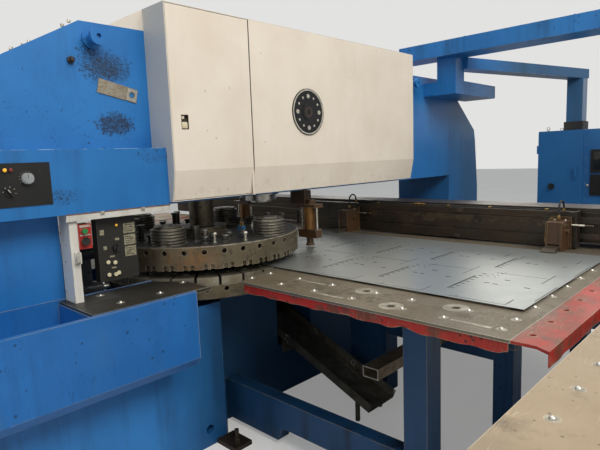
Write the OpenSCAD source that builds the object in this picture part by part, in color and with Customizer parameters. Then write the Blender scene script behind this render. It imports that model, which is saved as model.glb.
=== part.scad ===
/* [Machine frame] */
// Width across the two side plates of the welded frame
frame_w = 560; // [540:2:580]
// Near end of the frame, from the punch
frame_front = 2150; // [2100:5:2200]
// Far end of the frame, from the punch
frame_back = 2765; // [2760:1:2790]
// Height of the flat top
frame_top = 2198; // [2180:1:2215]
// Slope of the near end of the top, in degrees
slope_angle = 29; // [27:1:31]
// Where the near slope meets the flat top, from the punch
slope_start = 1302; // [1290:1:1320]
// Where the far slope leaves the flat top, from the punch
far_slope_start = 2110; // [2090:1:2125]
// Where the far slope ends, from the punch
far_slope_end = 2685; // [2670:1:2700]
// Height at the end of the far slope
far_slope_h = 1759; // [1740:1:1780]
// Height at which the far edge becomes upright
far_edge_h = 1196; // [1150:1:1250]
// Near wall of the throat, from the punch
throat_front = 1475; // [1470:1:1480]
// Far wall of the throat, from the punch
throat_back = 2160; // [2140:1:2175]
// Floor of the throat, under the lower turret
throat_floor = 800; // [795:1:805]
// Roof of the throat
throat_roof = 1330; // [1326:1:1334]
// Width across the bed under the turrets
bed_w = 880; // [860:2:890]
// End of the bed, before the punch
bed_end = 700; // [680:1:720]
// Height of the bed shoulders
bed_h = 790; // [780:1:795]
// Bevel on the upright corners of the bed
bed_bevel = 28; // [20:1:34]
// Diameter of the anchor hole in the bed
anchor_hole_d = 52; // [40:1:60]
// Height of the anchor hole
anchor_hole_h = 95; // [85:1:110]
// Diameter of the anchor bolts
anchor_bolt_d = 24; // [16:1:30]
// Diameter of the lifting boss's outer disc
lug_d = 78; // [70:1:90]
// How far the lifting boss stands out
lug_out = 82; // [70:1:95]

/* [Turrets] */
// Distance from the punch to the turret centre, and radius of the station circle
turret_pitch = 501; // [499:1:503]
// Rim of the upper turret, outside the station circle
turret_rim = 92; // [90:1:95]
// Rim of the lower turret, outside the station circle
lower_turret_rim = 97; // [93:1:99]
// Step from the station circle to the inner one
ring_step = 81; // [76:1:86]
// Gap between the pass line and the upper turret
turret_gap = 40; // [36:1:44]
// Thickness of the upper turret
upper_turret_t = 123; // [118:1:128]
// Thickness of the lower turret disc, without its die blocks
lower_turret_t = 75; // [70:1:80]
// Height of the die blocks
die_block_h = 45; // [40:1:48]
// Number of index holes round each turret
index_holes = 36; // [36, 72]
// Diameter of the index holes
index_hole_d = 28; // [24:1:30]
// Depth of the index holes
index_hole_depth = 60; // [45:1:70]
// Depth of an index hole below the turret's upper edge
index_hole_drop = 30; // [26:1:34]
// Diameter of the upper turret's shaft
upper_shaft_d = 150; // [130:1:170]
// Diameter of the lower turret's shaft
lower_shaft_d = 180; // [160:1:200]
// Diameter of the turret hubs
hub_d = 300; // [280:2:320]
// Outside diameter of a large sprung station
spring_d = 190; // [180:1:196]
// Height of a large sprung station
spring_h = 105; // [100:1:108]
// Coils on a large sprung station
spring_coils = 5; // [4:1:6]
// Height of a tall punch head above the turret
tall_punch_h = 90; // [80:1:94]
// Height of a short punch head above the turret
short_punch_h = 40; // [30:1:50]
// Diameter of a punch head
punch_head_d = 44; // [38:1:48]

/* [Drive] */
// Diameter of the ram
ram_d = 150; // [130:1:160]
// Height of the ram's lower face at rest
ram_h = 1256; // [1255:1:1260]
// Height of the crankshaft axis
crank_h = 1823; // [1815:1:1830]
// Diameter of the flywheel
flywheel_d = 640; // [600:2:660]
// Thickness of the flywheel
flywheel_t = 90; // [80:1:96]
// Diameter of the motor pulley
pulley_d = 180; // [160:2:200]
// Distance from the crankshaft to the motor along the frame
motor_y = 760; // [740:1:780]
// Diameter of the motor housing
motor_d = 250; // [230:2:270]
// Diameter of the crankshaft journal
journal_d = 90; // [80:1:100]

/* [Hood] */
// Depth of the hood beyond the side plate
hood_out = 190; // [185:1:195]
// Near end of the hood, from the punch
hood_front = 977; // [972:1:980]
// Far end of the hood, from the punch
hood_back = 1215; // [1200:1:1230]
// Bottom of the hood
hood_bottom = 1352; // [1350:1:1356]
// Fold line between the hood's upright face and its tucked lower part
hood_fold = 1505; // [1500:1:1515]
// Top of the hood
hood_top = 2300; // [2290:1:2315]
// How far the lower part is tucked in
hood_tuck = 30; // [20:1:36]
// Thickness of the hood's sheet
hood_t = 4; // [3:0.5:5]
// Seam between the door and the fixed panel, before the punch
seam_y = 460; // [440:1:480]
// Diameter of the round emblem plate
emblem_d = 280; // [260:2:300]

/* [Side boxes] */
// Depth of the long side box beyond the side plate
side_box_out = 133; // [128:1:138]
// Bottom of the side box
side_box_bottom = 1340; // [1338:1:1342]
// Top of the side box
side_box_top = 1620; // [1610:1:1630]
// Near end of the side box and the tray, from the punch
box_front = 2080; // [2060:1:2090]
// Depth of the tray beyond the side plate
tray_out = 407; // [400:1:412]
// End of the tray, before the punch
tray_end = 1040; // [1036:1:1050]
// Bottom of the tray's front face
tray_bottom = 630; // [620:1:640]
// Thickness of the tray's sheet
tray_t = 4; // [3:0.5:5]
// Width of the guard post
post_w = 38; // [34:1:40]
// Depth of the guard post
post_out = 110; // [105:1:115]
// Width of the grey operator box
operator_w = 195; // [190:1:198]
// Depth of the grey operator box beyond the side plate
operator_out = 70; // [60:1:75]
// Bottom of the grey operator box
operator_bottom = 1003; // [1000:1:1010]

/* [Table and sheet] */
// Height of the table top
table_h = 942; // [940:1:944]
// How far the transfer balls stand above the table
ball_lift = 8; // [7:0.5:8]
// Diameter of a transfer ball
ball_d = 18; // [16:1:18]
// Diameter of a transfer ball's cup
cup_d = 34; // [32:1:38]
// Thickness of the table plates
table_t = 12; // [10:1:14]
// Near edge of the centre table, before the punch
table_front = 775; // [770:1:780]
// Far edge of the centre table, from the punch
table_back = 1900; // [1850:5:1950]
// Outer edge of the centre table
table_out = 2030; // [2020:1:2036]
// Width of the painted edge strip
strip_w = 128; // [120:1:132]
// Inner edge of the side tables
side_table_in = 2206; // [2200:1:2212]
// Outer edge of the side tables
side_table_out = 2850; // [2800:5:2900]
// Near edge of the side tables, before the punch
side_table_front = 1500; // [1480:1:1520]
// Height of the folded lips
lip_h = 56; // [50:1:60]
// Thickness of the punched sheet
sheet_t = 1.5; // [1:0.1:2]
// Length of the punched sheet
sheet_l = 2440; // [2420:2:2460]
// Width of the punched sheet
sheet_w = 1219; // [1210:1:1220]
// Far right corner of the sheet, sideways
sheet_right = 1955; // [1945:1:1965]

/* [Carriage] */
// Front face of the cross carriage, from the punch
carriage_y = 940; // [936:1:944]
// Thickness of the cross carriage
carriage_t = 60; // [54:1:64]
// Top of the cross carriage
carriage_top = 1166; // [1160:1:1170]
// Right end of the cross carriage
carriage_right = 1745; // [1740:1:1755]
// Length of the cross carriage
carriage_l = 2305; // [2280:5:2330]
// Depth of the carriage base
base_d = 216; // [210:1:222]
// Length of the carriage base on each side
base_half = 2650; // [2620:5:2700]
// Distance of the right workholder from the punch
holder_x = 1660; // [1640:1:1670]
// Distance between the two workholders
holder_gap = 1580; // [1560:2:1600]
// Width of a workholder
holder_w = 90; // [84:1:96]
// Height of a workholder's cylinder block
holder_top = 1118; // [1112:1:1122]
// Reach of the workholder jaws in front of the carriage
jaw_reach = 250; // [240:1:255]

/* [Cabinet and ducts] */
// Left side of the control cabinet
cabinet_x = 660; // [650:1:670]
// Width of the control cabinet
cabinet_w = 1200; // [1150:5:1240]
// Front of the control cabinet
cabinet_y = 3420; // [3400:1:3440]
// Depth of the control cabinet
cabinet_d = 600; // [560:5:640]
// Height of the control cabinet
cabinet_h = 1725; // [1715:1:1735]
// Width of the cabinet's door
cabinet_door_w = 440; // [430:1:450]
// Height of the overhead duct's section
duct_h = 120; // [110:1:126]
// Depth of the overhead duct's section
duct_d = 250; // [230:1:260]
// Front face of the overhead duct
duct_y = 1600; // [1590:1:1610]
// Right end of the overhead duct
duct_right = 3150; // [3150:5:3250]
// Height of the cable arm's section
arm_h = 92; // [80:1:96]
// Width of the cable arm's post
arm_post_w = 150; // [140:1:160]

/* [Hidden] */
$fn = 48;

eps = 1;
fit = 0.05;
rest_gap = 0.3;
half_w = frame_w / 2;
bed_half = bed_w / 2;
pass_h = table_h + ball_lift;
sheet_z = pass_h + rest_gap;
sheet_top = sheet_z + sheet_t;
side_sign = [1, -1];

near_wall_h = frame_top - (frame_front - slope_start) * tan(slope_angle);
bed_front = 2050;
scrap_bore_d = 140;
chute_floor = 330;
chute_roof = 640;
chute_half = 160;
chute_inner = 130;
shaft_in_roof = 190;
shaft_in_floor = 200;
ram_in_roof = 230;
shaft_end_gap = 2;

turret_r = turret_pitch + turret_rim;
lower_turret_r = turret_pitch + lower_turret_rim;
turret_clear = lower_turret_r + 17;
inner_pitch = turret_pitch - ring_step;
upper_z = pass_h + turret_gap;
upper_top = upper_z + upper_turret_t;
disc_top = pass_h - die_block_h;
disc_z = disc_top - lower_turret_t;
index_step = 360 / index_holes;
index_phase = 5;
upper_index_z = upper_top - index_hole_drop;
lower_index_z = disc_top - index_hole_drop + 9;
pin_angle = -95;
pin_gap = 6;
pin_d = index_hole_d - 2 * fit;
housing_front = turret_r + 57;
housing_back = throat_front - turret_pitch - 9;
pin_back = housing_back - 146;
spring_angles = [-57, 16, 125, 200];
spring_pitch = turret_r - spring_d / 2 - 13;
stations = 29;
station_step = 360 / stations;

hood_face = half_w + hood_out;
tuck_face = hood_face - hood_tuck;
hinge_x = hood_face - 8;
hinge_y = -seam_y - 4;
latch = [-897, 1742];
latch_half = [21, 36];
wheel_x0 = half_w + 20;
wheel_x1 = wheel_x0 + flywheel_t;
belt_w = 60;
belt_t = 8;
groove = 8;
motor_gap = 12;
motor_depth = 370;
motor_shaft_d = 38;

box_y0 = -box_front;
side_face = half_w + side_box_out;
shelf_y0 = -1507;
shelf_y1 = -931;
shelf_x = 645;
operator_face = half_w + operator_out;
operator_y = -1335;
knob_y = -1633;
knob_z = 1505;
spindle_d = 10;
switch_y = operator_y + 87;
switch_z = 1156;
button_face = half_w + 115;
button_box_y = -throat_front + post_w;
button_y = button_box_y + 24;
start_z = 1261;
stop_z = 1215;
button_ring_t = 4;
button_stem_d = 16;
button_travel = 4;

holder_y0 = carriage_y - jaw_reach;
jaw_pin_y = carriage_y - 125;
jaw_pin_z = sheet_top + 17;
jaw_pin_d = 12;
holder_sides = [holder_x, holder_x - holder_gap];
hose_y = carriage_y - 60;
hose_port_h = 16;
carriage_z = 955;
carriage_back = carriage_y + carriage_t;
base_y = 1040;
base_z = 970;
base_plate_z = 1155;
base_plate_t = 28;
rail_x = 2360;
rail_top = 745;
rail_w = 100;
support_z = 475;

hold_x = 330;
hold_y = 132;
hold_block_z = 1016;
hold_block_t = 54;
hold_travel = 9.5;
hold_rod_gap = 66;
hold_rod_d = 16;
hold_piston_d = 30;

ball_cols = 7;
ball_x0 = turret_clear + 58;
ball_pitch = (table_out - 63 - ball_x0) / (ball_cols - 1);
ball_row_y = -690;
ball_row_step = 130;
ball_far_y = -373;
ball_far_step = 194;
insert_bore = 34;

duct_z = 2330;
duct_left = 100;
upright_x0 = 410;
upright_x1 = 580;
arm_post_x = 993;
arm_post_y = 3520;
collar_z = 1810;
cabinet_hinge = [cabinet_x - 2, cabinet_y - 22];
hinge_zs = [220, 1490];
door_gap = 2;
door_t = 20;
door_face = cabinet_y - door_gap - door_t;
main_switch = [807, 1149];
main_switch_d = 14;

// Copies on the right side and, mirrored, on the left side
module both_sides() {
  for (s = side_sign) mirror([s < 0 ? 1 : 0, 0, 0]) children();
}

// Box between two corners
module box(a, b) {
  translate(a) cube([b[0] - a[0], b[1] - a[1], b[2] - a[2]]);
}

// Profile drawn in the Y-Z plane and stretched along X
module along_x(x0, x1) {
  translate([x0, 0, 0]) rotate([90, 0, 90]) linear_extrude(x1 - x0) children();
}

// Profile drawn in the X-Z plane and stretched along Y
module along_y(y0, y1) {
  translate([0, y1, 0]) rotate([90, 0, 0]) linear_extrude(y1 - y0) children();
}

// Round bar along X
module bar_x(x0, x1, d, y, z) {
  translate([x0, y, z]) rotate([0, 90, 0]) cylinder(h = x1 - x0, d = d);
}

// Round bar along Y
module bar_y(y0, y1, d, x, z) {
  translate([x, y1, z]) rotate([90, 0, 0]) cylinder(h = y1 - y0, d = d);
}

// Round bar along Z
module bar_z(z0, z1, d, x, y) {
  translate([x, y, z0]) cylinder(h = z1 - z0, d = d);
}

// Frame of the turrets, turned to one station
module at_station(angle) {
  translate([0, -turret_pitch, 0]) rotate([0, 0, angle]) children();
}

// Welded side plates with the bed, the throat, the bearing bores and the scrap hole
module frame() {
  far_end = [[far_slope_end, far_slope_h], [far_slope_end + 25, far_slope_h - 100],
             [frame_back, far_edge_h], [frame_back, 0]];
  near_end = [[-frame_front, 0], [-frame_front, near_wall_h], [-slope_start, frame_top],
              [far_slope_start, frame_top]];
  color("#2b77bb") difference() {
    union() {
      along_x(-half_w, half_w) polygon(concat(near_end, far_end));
      linear_extrude(bed_h) bed_plan();
    }
    box([-half_w - eps, -throat_front, throat_floor], [half_w + eps, throat_back, throat_roof]);
    bar_z(throat_floor - shaft_in_floor, throat_floor + eps, lower_shaft_d + 2 * fit, 0, -turret_pitch);
    bar_z(throat_roof - eps, throat_roof + shaft_in_roof, upper_shaft_d + 2 * fit, 0, -turret_pitch);
    bar_z(throat_roof - eps, throat_roof + ram_in_roof, ram_d + 2 * fit, 0, 0);
    bar_z(chute_roof - eps, throat_floor + eps, scrap_bore_d, 0, 0);
    box([-chute_inner, -chute_half, chute_floor], [half_w + eps, chute_half, chute_roof]);
    bar_x(half_w - 180, half_w + eps, journal_d + 2 * fit, 0, crank_h);
    bar_x(half_w - motor_depth - motor_gap, half_w + eps, motor_d + 2 * motor_gap, motor_y, crank_h);
    for (s = side_sign) {
      bar_x(s * (bed_half - 30) - 31, s * (bed_half - 30) + 31, anchor_hole_d, -840, anchor_hole_h);
    }
  }
}

// Plan of the bed: wider than the frame, with bevelled corners
module bed_plan() {
  for (s = side_sign) {
    polygon([[0, -bed_front], [s * (bed_half - bed_bevel), -bed_front],
             [s * bed_half, -bed_front + bed_bevel], [s * bed_half, -bed_end - bed_bevel],
             [s * (bed_half - bed_bevel), -bed_end], [0, -bed_end]]);
  }
}

// Steel foot plates with their bolts and nuts, beside the bed and the far end of the frame
module anchor_feet() {
  foot_t = 24;
  foot_w = 116;
  foot_out = 160;
  bolt_out = 104;
  bolt_top = 92;
  nut_d = 46;
  nut_h = 20;
  places = [[bed_half, -743], [bed_half, -1880], [half_w, 2560]];
  color("#5c5f61") both_sides() for (p = places) {
    translate([p[0], p[1] - foot_w / 2, 0]) cube([foot_out, foot_w, foot_t]);
    bar_z(foot_t, bolt_top, anchor_bolt_d, p[0] + bolt_out, p[1]);
    translate([p[0] + bolt_out, p[1], foot_t]) cylinder(h = nut_h, d = nut_d, $fn = 6);
  }
}

// Spool-shaped bosses that take the lifting slings
module lifting_lugs() {
  places = [[-1250, 2123], [1480, 2123]];
  base_t = 12;
  disc_t = 22;
  neck_d = lug_d - 26;
  hole_d = 22;
  hole_depth = 14;
  color("#2b77bb") both_sides() for (p = places) difference() {
    union() {
      bar_x(half_w, half_w + base_t, lug_d + 14, p[0], p[1]);
      bar_x(half_w + base_t, half_w + lug_out, neck_d, p[0], p[1]);
      bar_x(half_w + lug_out - disc_t, half_w + lug_out, lug_d, p[0], p[1]);
    }
    bar_x(half_w + lug_out - hole_depth, half_w + lug_out + eps, hole_d, p[0], p[1]);
  }
}

// Long wiring box on the near half of the frame's side
module side_box() {
  lid_step = 3;
  lid_h = 22;
  color("#2f7bbf") difference() {
    both_sides() {
      box([half_w, box_y0, side_box_bottom], [side_face, -hood_front, side_box_top - lid_h]);
      box([half_w, box_y0, side_box_top - lid_h], [side_face - lid_step, -hood_front, side_box_top]);
    }
    bar_x(side_face - 30, side_face + eps, spindle_d + 2 * fit, knob_y, knob_z);
  }
}

// Black control plate with lamps, selector switches and screws
module side_panel() {
  plate_y = [-2000, -1539];
  plate_z = [1393, 1568];
  face = side_face + 4;
  lamps = [[-1713, 1541], [-1691, 1541]];
  lamp_d = 16;
  lamp_out = 9;
  selectors = [[-1702, 1452], [-1830, 1500]];
  dial_d = 34;
  dial_t = 6;
  grip_turn = 35;
  grip = [12, 8, dial_d];
  screw_d = 9;
  screw_h = 2;
  screw_in = [14, 12];
  color("#141414") difference() {
    union() {
      box([side_face, plate_y[0], plate_z[0]], [face, plate_y[1], plate_z[1]]);
      for (p = lamps) bar_x(face, face + lamp_out, lamp_d, p[0], p[1]);
      for (p = selectors) {
        bar_x(face, face + dial_t, dial_d, p[0], p[1]);
        translate([face + dial_t, p[0], p[1]]) rotate([grip_turn, 0, 0])
          translate([0, -grip[1] / 2, -grip[2] / 2]) cube(grip);
      }
      for (y = [plate_y[0] + screw_in[0], (plate_y[0] + plate_y[1]) / 2, plate_y[1] - screw_in[0]])
        for (z = [plate_z[0] + screw_in[1], plate_z[1] - screw_in[1]]) bar_x(face, face + screw_h, screw_d, y, z);
    }
    bar_x(side_face - eps, face + eps, spindle_d + 2 * fit, knob_y, knob_z);
  }
}

// Round grey knob of the speed control, on its spindle
module panel_knob() {
  back = side_face + 5;
  front = side_face + 24;
  cap_t = 3;
  knob_d = 45;
  mark_w = 3;
  color("#8d9091") difference() {
    union() {
      bar_x(back, front, knob_d, knob_y, knob_z);
      bar_x(front, front + cap_t, knob_d - 7, knob_y, knob_z);
      bar_x(side_face - 26, back, spindle_d, knob_y, knob_z);
    }
    box([front - 2, knob_y - mark_w / 2, knob_z + 2], [front + cap_t + eps, knob_y + mark_w / 2, knob_z + knob_d]);
  }
}

// Open sheet tray on the near half of the bed, with a bevelled underside
module tray_box() {
  tray_x = half_w + tray_out;
  tray_floor = 800;
  under = 585;
  bevel = 37;
  rim = 22;
  outer = [[half_w, bed_h], [bed_half, bed_h], [bed_half, under], [tray_x - bevel, under],
           [tray_x, tray_bottom], [tray_x, pass_h], [half_w, pass_h]];
  color("#2a6fb0") both_sides() difference() {
    union() {
      difference() {
        along_y(box_y0, -tray_end) polygon(outer);
        box([half_w + tray_t, box_y0 + tray_t, tray_floor],
            [tray_x - tray_t, shelf_y0 - tray_t, pass_h + eps]);
        box([half_w + tray_t, shelf_y0, tray_floor], [tray_x - tray_t, -tray_end - tray_t, pass_h + eps]);
      }
      box([tray_x - rim, box_y0, pass_h - tray_t], [tray_x, -tray_end, pass_h]);
    }
    box([half_w + tray_t, shelf_y0 - tray_t - eps, table_h - table_t],
        [shelf_x + 12, -tray_end + eps, pass_h + eps]);
    box([half_w - eps, -throat_front, pass_h - tray_t], [half_w + tray_t + eps, -tray_end + eps, pass_h + eps]);
  }
}

// Plan of the shelf beside the turrets, cut round to clear them
module shelf_plan() {
  difference() {
    translate([half_w + tray_t, shelf_y0]) square([shelf_x - half_w - tray_t, shelf_y1 - shelf_y0]);
    translate([0, -turret_pitch]) circle(r = turret_clear);
    for (p = shelf_balls()) translate(p) circle(d = cup_d + 2 * fit);
  }
}

// Places of the transfer balls on the right shelf
function shelf_balls() = let (r = turret_clear + 24, a = -45.6)
  [[540, -1341], [540, -1143], [r * cos(a), r * sin(a) - turret_pitch], [345, -1341]];

// Steel shelf with a raised edge bar, level with the tables
module shelf_plate() {
  bar_w = 10;
  color("#6d6455") both_sides() {
    translate([0, 0, table_h - table_t]) linear_extrude(table_t) shelf_plan();
    box([shelf_x, shelf_y0, table_h - table_t], [shelf_x + bar_w, shelf_y1, pass_h - 2]);
  }
}

// Folded white reflector with its tube lamp, under the side box
module lamp_reflector() {
  y0 = -1490;
  face_h = 32;
  flange = 21;
  sheet = 3;
  tube_y = [-1420, -955];
  tube_d = 16;
  tube_x = half_w + 80;
  tube_drop = 18;
  color("#e4e3da") {
    along_y(y0, -hood_front) polygon([
      [side_face - flange, side_box_bottom], [side_face, side_box_bottom],
      [side_face - 8, side_box_bottom - face_h], [side_face - 11, side_box_bottom - face_h],
      [side_face - 4, side_box_bottom - sheet], [side_face - flange, side_box_bottom - sheet]]);
    bar_y(tube_y[0], tube_y[1], tube_d, tube_x, side_box_bottom - tube_drop);
    for (y = [tube_y[0] + 20, tube_y[1] - 45]) bar_z(side_box_bottom - tube_drop - 8, side_box_bottom, 12, tube_x, y);
  }
}

// White upright that carries the button box, between the shelf and the side box
module guard_post() {
  x0 = half_w + 6;
  x1 = half_w + post_out;
  y1 = -throat_front + post_w - 4;
  catch_z = [1120, 1170];
  color("#dfddd4") {
    box([x0, -throat_front, table_h], [x1, -throat_front + post_w, side_box_bottom]);
    box([x1, y1 - 22, catch_z[0]], [x1 + 10, y1, catch_z[1]]);
    box([x1, y1 - 6, catch_z[0]], [x1 + 26, y1, catch_z[1]]);
  }
}

// Small red box with bores for its two push buttons
module button_box() {
  box_w = 58;
  box_z = [1180, 1290];
  ring_d = 30;
  bore_depth = 30;
  color("#b3261f") difference() {
    union() {
      box([half_w + 50, button_box_y, box_z[0]], [button_face, button_box_y + box_w, box_z[1]]);
      for (z = [start_z, stop_z]) bar_x(button_face, button_face + button_ring_t, ring_d, button_y, z);
    }
    for (z = [start_z, stop_z]) {
      bar_x(button_face - bore_depth, button_face + button_ring_t + eps, button_stem_d + 2 * fit, button_y, z);
    }
  }
}

// One push button: stem and head, along X
module push_button(z, head_d, head_t) {
  stem_l = 20;
  head_x = button_face + button_ring_t + button_travel + 1;
  bar_x(button_face - stem_l, head_x, button_stem_d, button_y, z);
  bar_x(head_x, head_x + head_t, head_d, button_y, z);
}

module start_button() {
  head_d = 24;
  head_t = 8;
  color("#2f7d46") push_button(start_z, head_d, head_t);
}

module stop_button() {
  head_d = 36;
  head_t = 12;
  color("#161616") push_button(stop_z, head_d, head_t);
}

// Grey operator box hung under the side box, with its plates, lamp and small buttons
module operator_panel() {
  plate_y = operator_y + 129;
  plate_z = 1106;
  plate_step = 56;
  plate = [2, 60, 50];
  lamp = [93, 261];
  lamp_d = 14;
  lamp_out = 9;
  button_d = 18;
  button_out = 8;
  label_t = 1.5;
  buttons = [[40, 91], [74, 85], [40, 31], [73, 28], [89, 33]];
  labels = [[12, 220, 22, 26], [84, 188, 22, 12], [52, 110, 26, 10], [24, 150, 18, 18], [58, 56, 24, 9]];
  color("#4a4a47") {
    difference() {
      box([half_w + 20, operator_y, operator_bottom],
          [operator_face, operator_y + operator_w, side_box_bottom]);
      bar_x(operator_face - 30, operator_face + eps, spindle_d + 2 * fit, switch_y, switch_z);
    }
    for (i = [0:2]) {
      translate([operator_face, plate_y, plate_z + i * plate_step]) cube(plate);
    }
    bar_x(operator_face, operator_face + lamp_out, lamp_d, operator_y + lamp[0], operator_bottom + lamp[1]);
    for (b = buttons) {
      bar_x(operator_face, operator_face + button_out, button_d, operator_y + b[0], operator_bottom + b[1]);
    }
    for (l = labels) {
      translate([operator_face, operator_y + l[0], operator_bottom + l[1]]) cube([label_t, l[2], l[3]]);
    }
  }
}

// Rotary switch of the operator box
module operator_knob() {
  back = operator_face + 1;
  front = operator_face + 14;
  knob_d = 34;
  grip_turn = -20;
  grip = [9, 8, 32];
  color("#1b1b1b") {
    bar_x(operator_face - 26, back, spindle_d, switch_y, switch_z);
    bar_x(back, front, knob_d, switch_y, switch_z);
    translate([front, switch_y, switch_z]) rotate([grip_turn, 0, 0])
      translate([0, -grip[1] / 2, -grip[2] / 2]) cube(grip);
  }
}

// Section of the hood, drawn in the X-Z plane; inset is measured from its outer face
module hood_section(inset) {
  w = hood_face - inset;
  tuck = tuck_face - inset;
  polygon([[-tuck, hood_bottom + inset], [-w, hood_fold], [-w, hood_top - inset],
           [w, hood_top - inset], [w, hood_fold], [tuck, hood_bottom + inset]]);
}

// Fixed sheet shell of the hood: roof, ends, left side, bottom flanges and door post
module hood_shell() {
  nose_start = hood_front + (hood_top - frame_top) / tan(slope_angle);
  post_x = [tuck_face - 20, tuck_face - 6];
  color("#e0d4c4") difference() {
    union() {
      difference() {
        along_y(-hood_front, hood_back) hood_section(0);
        along_y(-hood_front + hood_t, hood_back - hood_t) hood_section(hood_t);
      }
      along_x(-half_w, half_w) polygon([[-nose_start, frame_top], [-hood_front, frame_top],
                                        [-hood_front, hood_top]]);
      box([post_x[0], -seam_y - 20, hood_bottom], [post_x[1], -seam_y + 20, hood_top]);
      box([tuck_face - 10, hinge_y - 10, hood_bottom], [hinge_x, hinge_y + 10, hood_bottom + hood_t]);
      bar_z(hood_bottom, hood_bottom + hood_t, 20, hinge_x, hinge_y);
    }
    box([-half_w, -hood_front - 2 * hood_out, 0], [half_w, hood_back + eps, frame_top]);
    box([tuck_face - hood_t - 1, -hood_front + hood_t, hood_bottom + hood_t],
        [hood_face + eps, hood_back - hood_t, hood_top - hood_t]);
    bar_z(hood_bottom - eps, hood_top + eps, 8 + 2 * fit, hinge_x, hinge_y);
  }
}

// Folded side sheet of the hood, from y0 to y1 and from z0 to z1
module hood_sheet(y0, y1, z0, z1) {
  lean = hood_tuck / (hood_fold - hood_bottom);
  x0 = tuck_face + (z0 - hood_bottom) * lean;
  along_y(y0, y1) polygon([[x0, z0], [hood_face, hood_fold], [hood_face, z1],
                           [hood_face - hood_t, z1], [hood_face - hood_t, hood_fold], [x0 - hood_t, z0]]);
}

// Fixed side panel of the hood, over the flywheel
module hood_panel() {
  y0 = -seam_y + 6;
  y1 = hood_back - hood_t;
  color("#ddd0be") hood_sheet(y0, y1, hood_bottom + hood_t, hood_top - hood_t);
}

// Access door over the near half of the hood, on two upright pins
module hood_door() {
  gap = 3;
  y0 = -hood_front + hood_t + 2;
  y1 = -seam_y - 2;
  hinge_pin_d = 8;
  roll_d = 12;
  color("#ddd0be") {
    difference() {
      hood_sheet(y0, y1, hood_bottom + hood_t + gap, hood_top - hood_t - gap);
      box([hood_face - hood_t - eps, latch[0] - latch_half[0], latch[1] - latch_half[1]],
          [hood_face + eps, latch[0] + latch_half[0], latch[1] + latch_half[1]]);
    }
    bar_z(hood_bottom + hood_t + gap, hood_fold + 30, roll_d, hinge_x, hinge_y);
    bar_z(hood_top - 90, hood_top - hood_t - gap, roll_d, hinge_x, hinge_y);
    bar_z(hood_bottom + 1, hood_bottom + hood_t + gap, hinge_pin_d, hinge_x, hinge_y);
    bar_z(hood_top - hood_t - gap, hood_top - 1, hinge_pin_d, hinge_x, hinge_y);
  }
}

// Flush pull of the door: a folded cup with a finger lip
module door_latch() {
  y = latch[0];
  z = latch[1];
  depth = 16;
  back = 2;
  w = latch_half[0];
  h = latch_half[1];
  wall = 3;
  lip_z = [6, 12];
  color("#2b2b29") {
    difference() {
      box([hood_face - depth, y - w, z - h], [hood_face, y + w, z + h]);
      box([hood_face - depth + back, y - w + wall, z - h + wall], [hood_face + eps, y + w - wall, z + h - wall]);
    }
    box([hood_face - depth + back, y - w + wall, z + lip_z[0]], [hood_face - back, y + w - wall, z + lip_z[1]]);
  }
}

// Round plate on the hood: rim, dark field, ring of dots and hub
module emblem_disc() {
  dots = 12;
  dot_r = emblem_d * 0.34;
  dot_d = [28, 16];
  rim_w = 11;
  field_t = 3;
  rim_t = 6;
  color("#16181a") {
    bar_x(hood_face, hood_face + field_t, emblem_d, 0, crank_h);
    difference() {
      bar_x(hood_face + field_t, hood_face + rim_t, emblem_d, 0, crank_h);
      bar_x(hood_face + field_t - eps, hood_face + rim_t + eps, emblem_d - 2 * rim_w, 0, crank_h);
    }
    for (i = [0:dots - 1]) {
      a = i * 360 / dots;
      bar_x(hood_face + field_t, hood_face + rim_t - 1, dot_d[i % 3 == 0 ? 0 : 1],
            dot_r * cos(a), crank_h + dot_r * sin(a));
    }
    bar_x(hood_face + field_t, hood_face + rim_t + 1, emblem_d * 0.36, 0, crank_h);
  }
}

// Drive motor, sunk into the frame and held by its flange
module drive_motor() {
  flange_t = 14;
  color("#454b50") difference() {
    union() {
      bar_x(half_w, half_w + flange_t, motor_d + 80, motor_y, crank_h);
      bar_x(half_w - motor_depth, half_w, motor_d, motor_y, crank_h);
    }
    bar_x(half_w - 100, half_w + flange_t + eps, motor_shaft_d + 2 * fit, motor_y, crank_h);
  }
}

// Belt wheel on an X axis: rim with a belt groove, web and hub
module belt_wheel(r, hub_r, rim) {
  w = flywheel_t;
  web = 20;
  translate([wheel_x0, 0, 0]) rotate([0, 90, 0]) rotate_extrude() polygon([
    [0, 0], [hub_r, 0], [hub_r, w / 2 - web / 2], [r - rim, w / 2 - web / 2], [r - rim, 0], [r, 0],
    [r, (w - belt_w) / 2 - 3], [r - groove, (w - belt_w) / 2 - 3], [r - groove, (w + belt_w) / 2 + 3],
    [r, (w + belt_w) / 2 + 3], [r, w], [r - rim, w], [r - rim, w / 2 + web / 2], [hub_r, w / 2 + web / 2],
    [hub_r, w], [0, w]]);
}

module motor_pulley() {
  hub_r = 34;
  rim = 24;
  color("#6a6d6e") translate([0, motor_y, crank_h]) {
    belt_wheel(pulley_d / 2, hub_r, rim);
    bar_x(half_w - 90, wheel_x0, motor_shaft_d, 0, 0);
  }
}

module flywheel() {
  holes = 5;
  hole_d = 100;
  hole_r = 165;
  hub_r = 70;
  rim = 60;
  color("#5a5f62") translate([0, 0, crank_h]) difference() {
    union() {
      belt_wheel(flywheel_d / 2, hub_r, rim);
      bar_x(half_w - 170, wheel_x0, journal_d, 0, 0);
    }
    for (i = [0:holes - 1]) rotate([i * 360 / holes, 0, 0]) bar_x(wheel_x0, wheel_x1, hole_d, hole_r, 0);
  }
}

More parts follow.
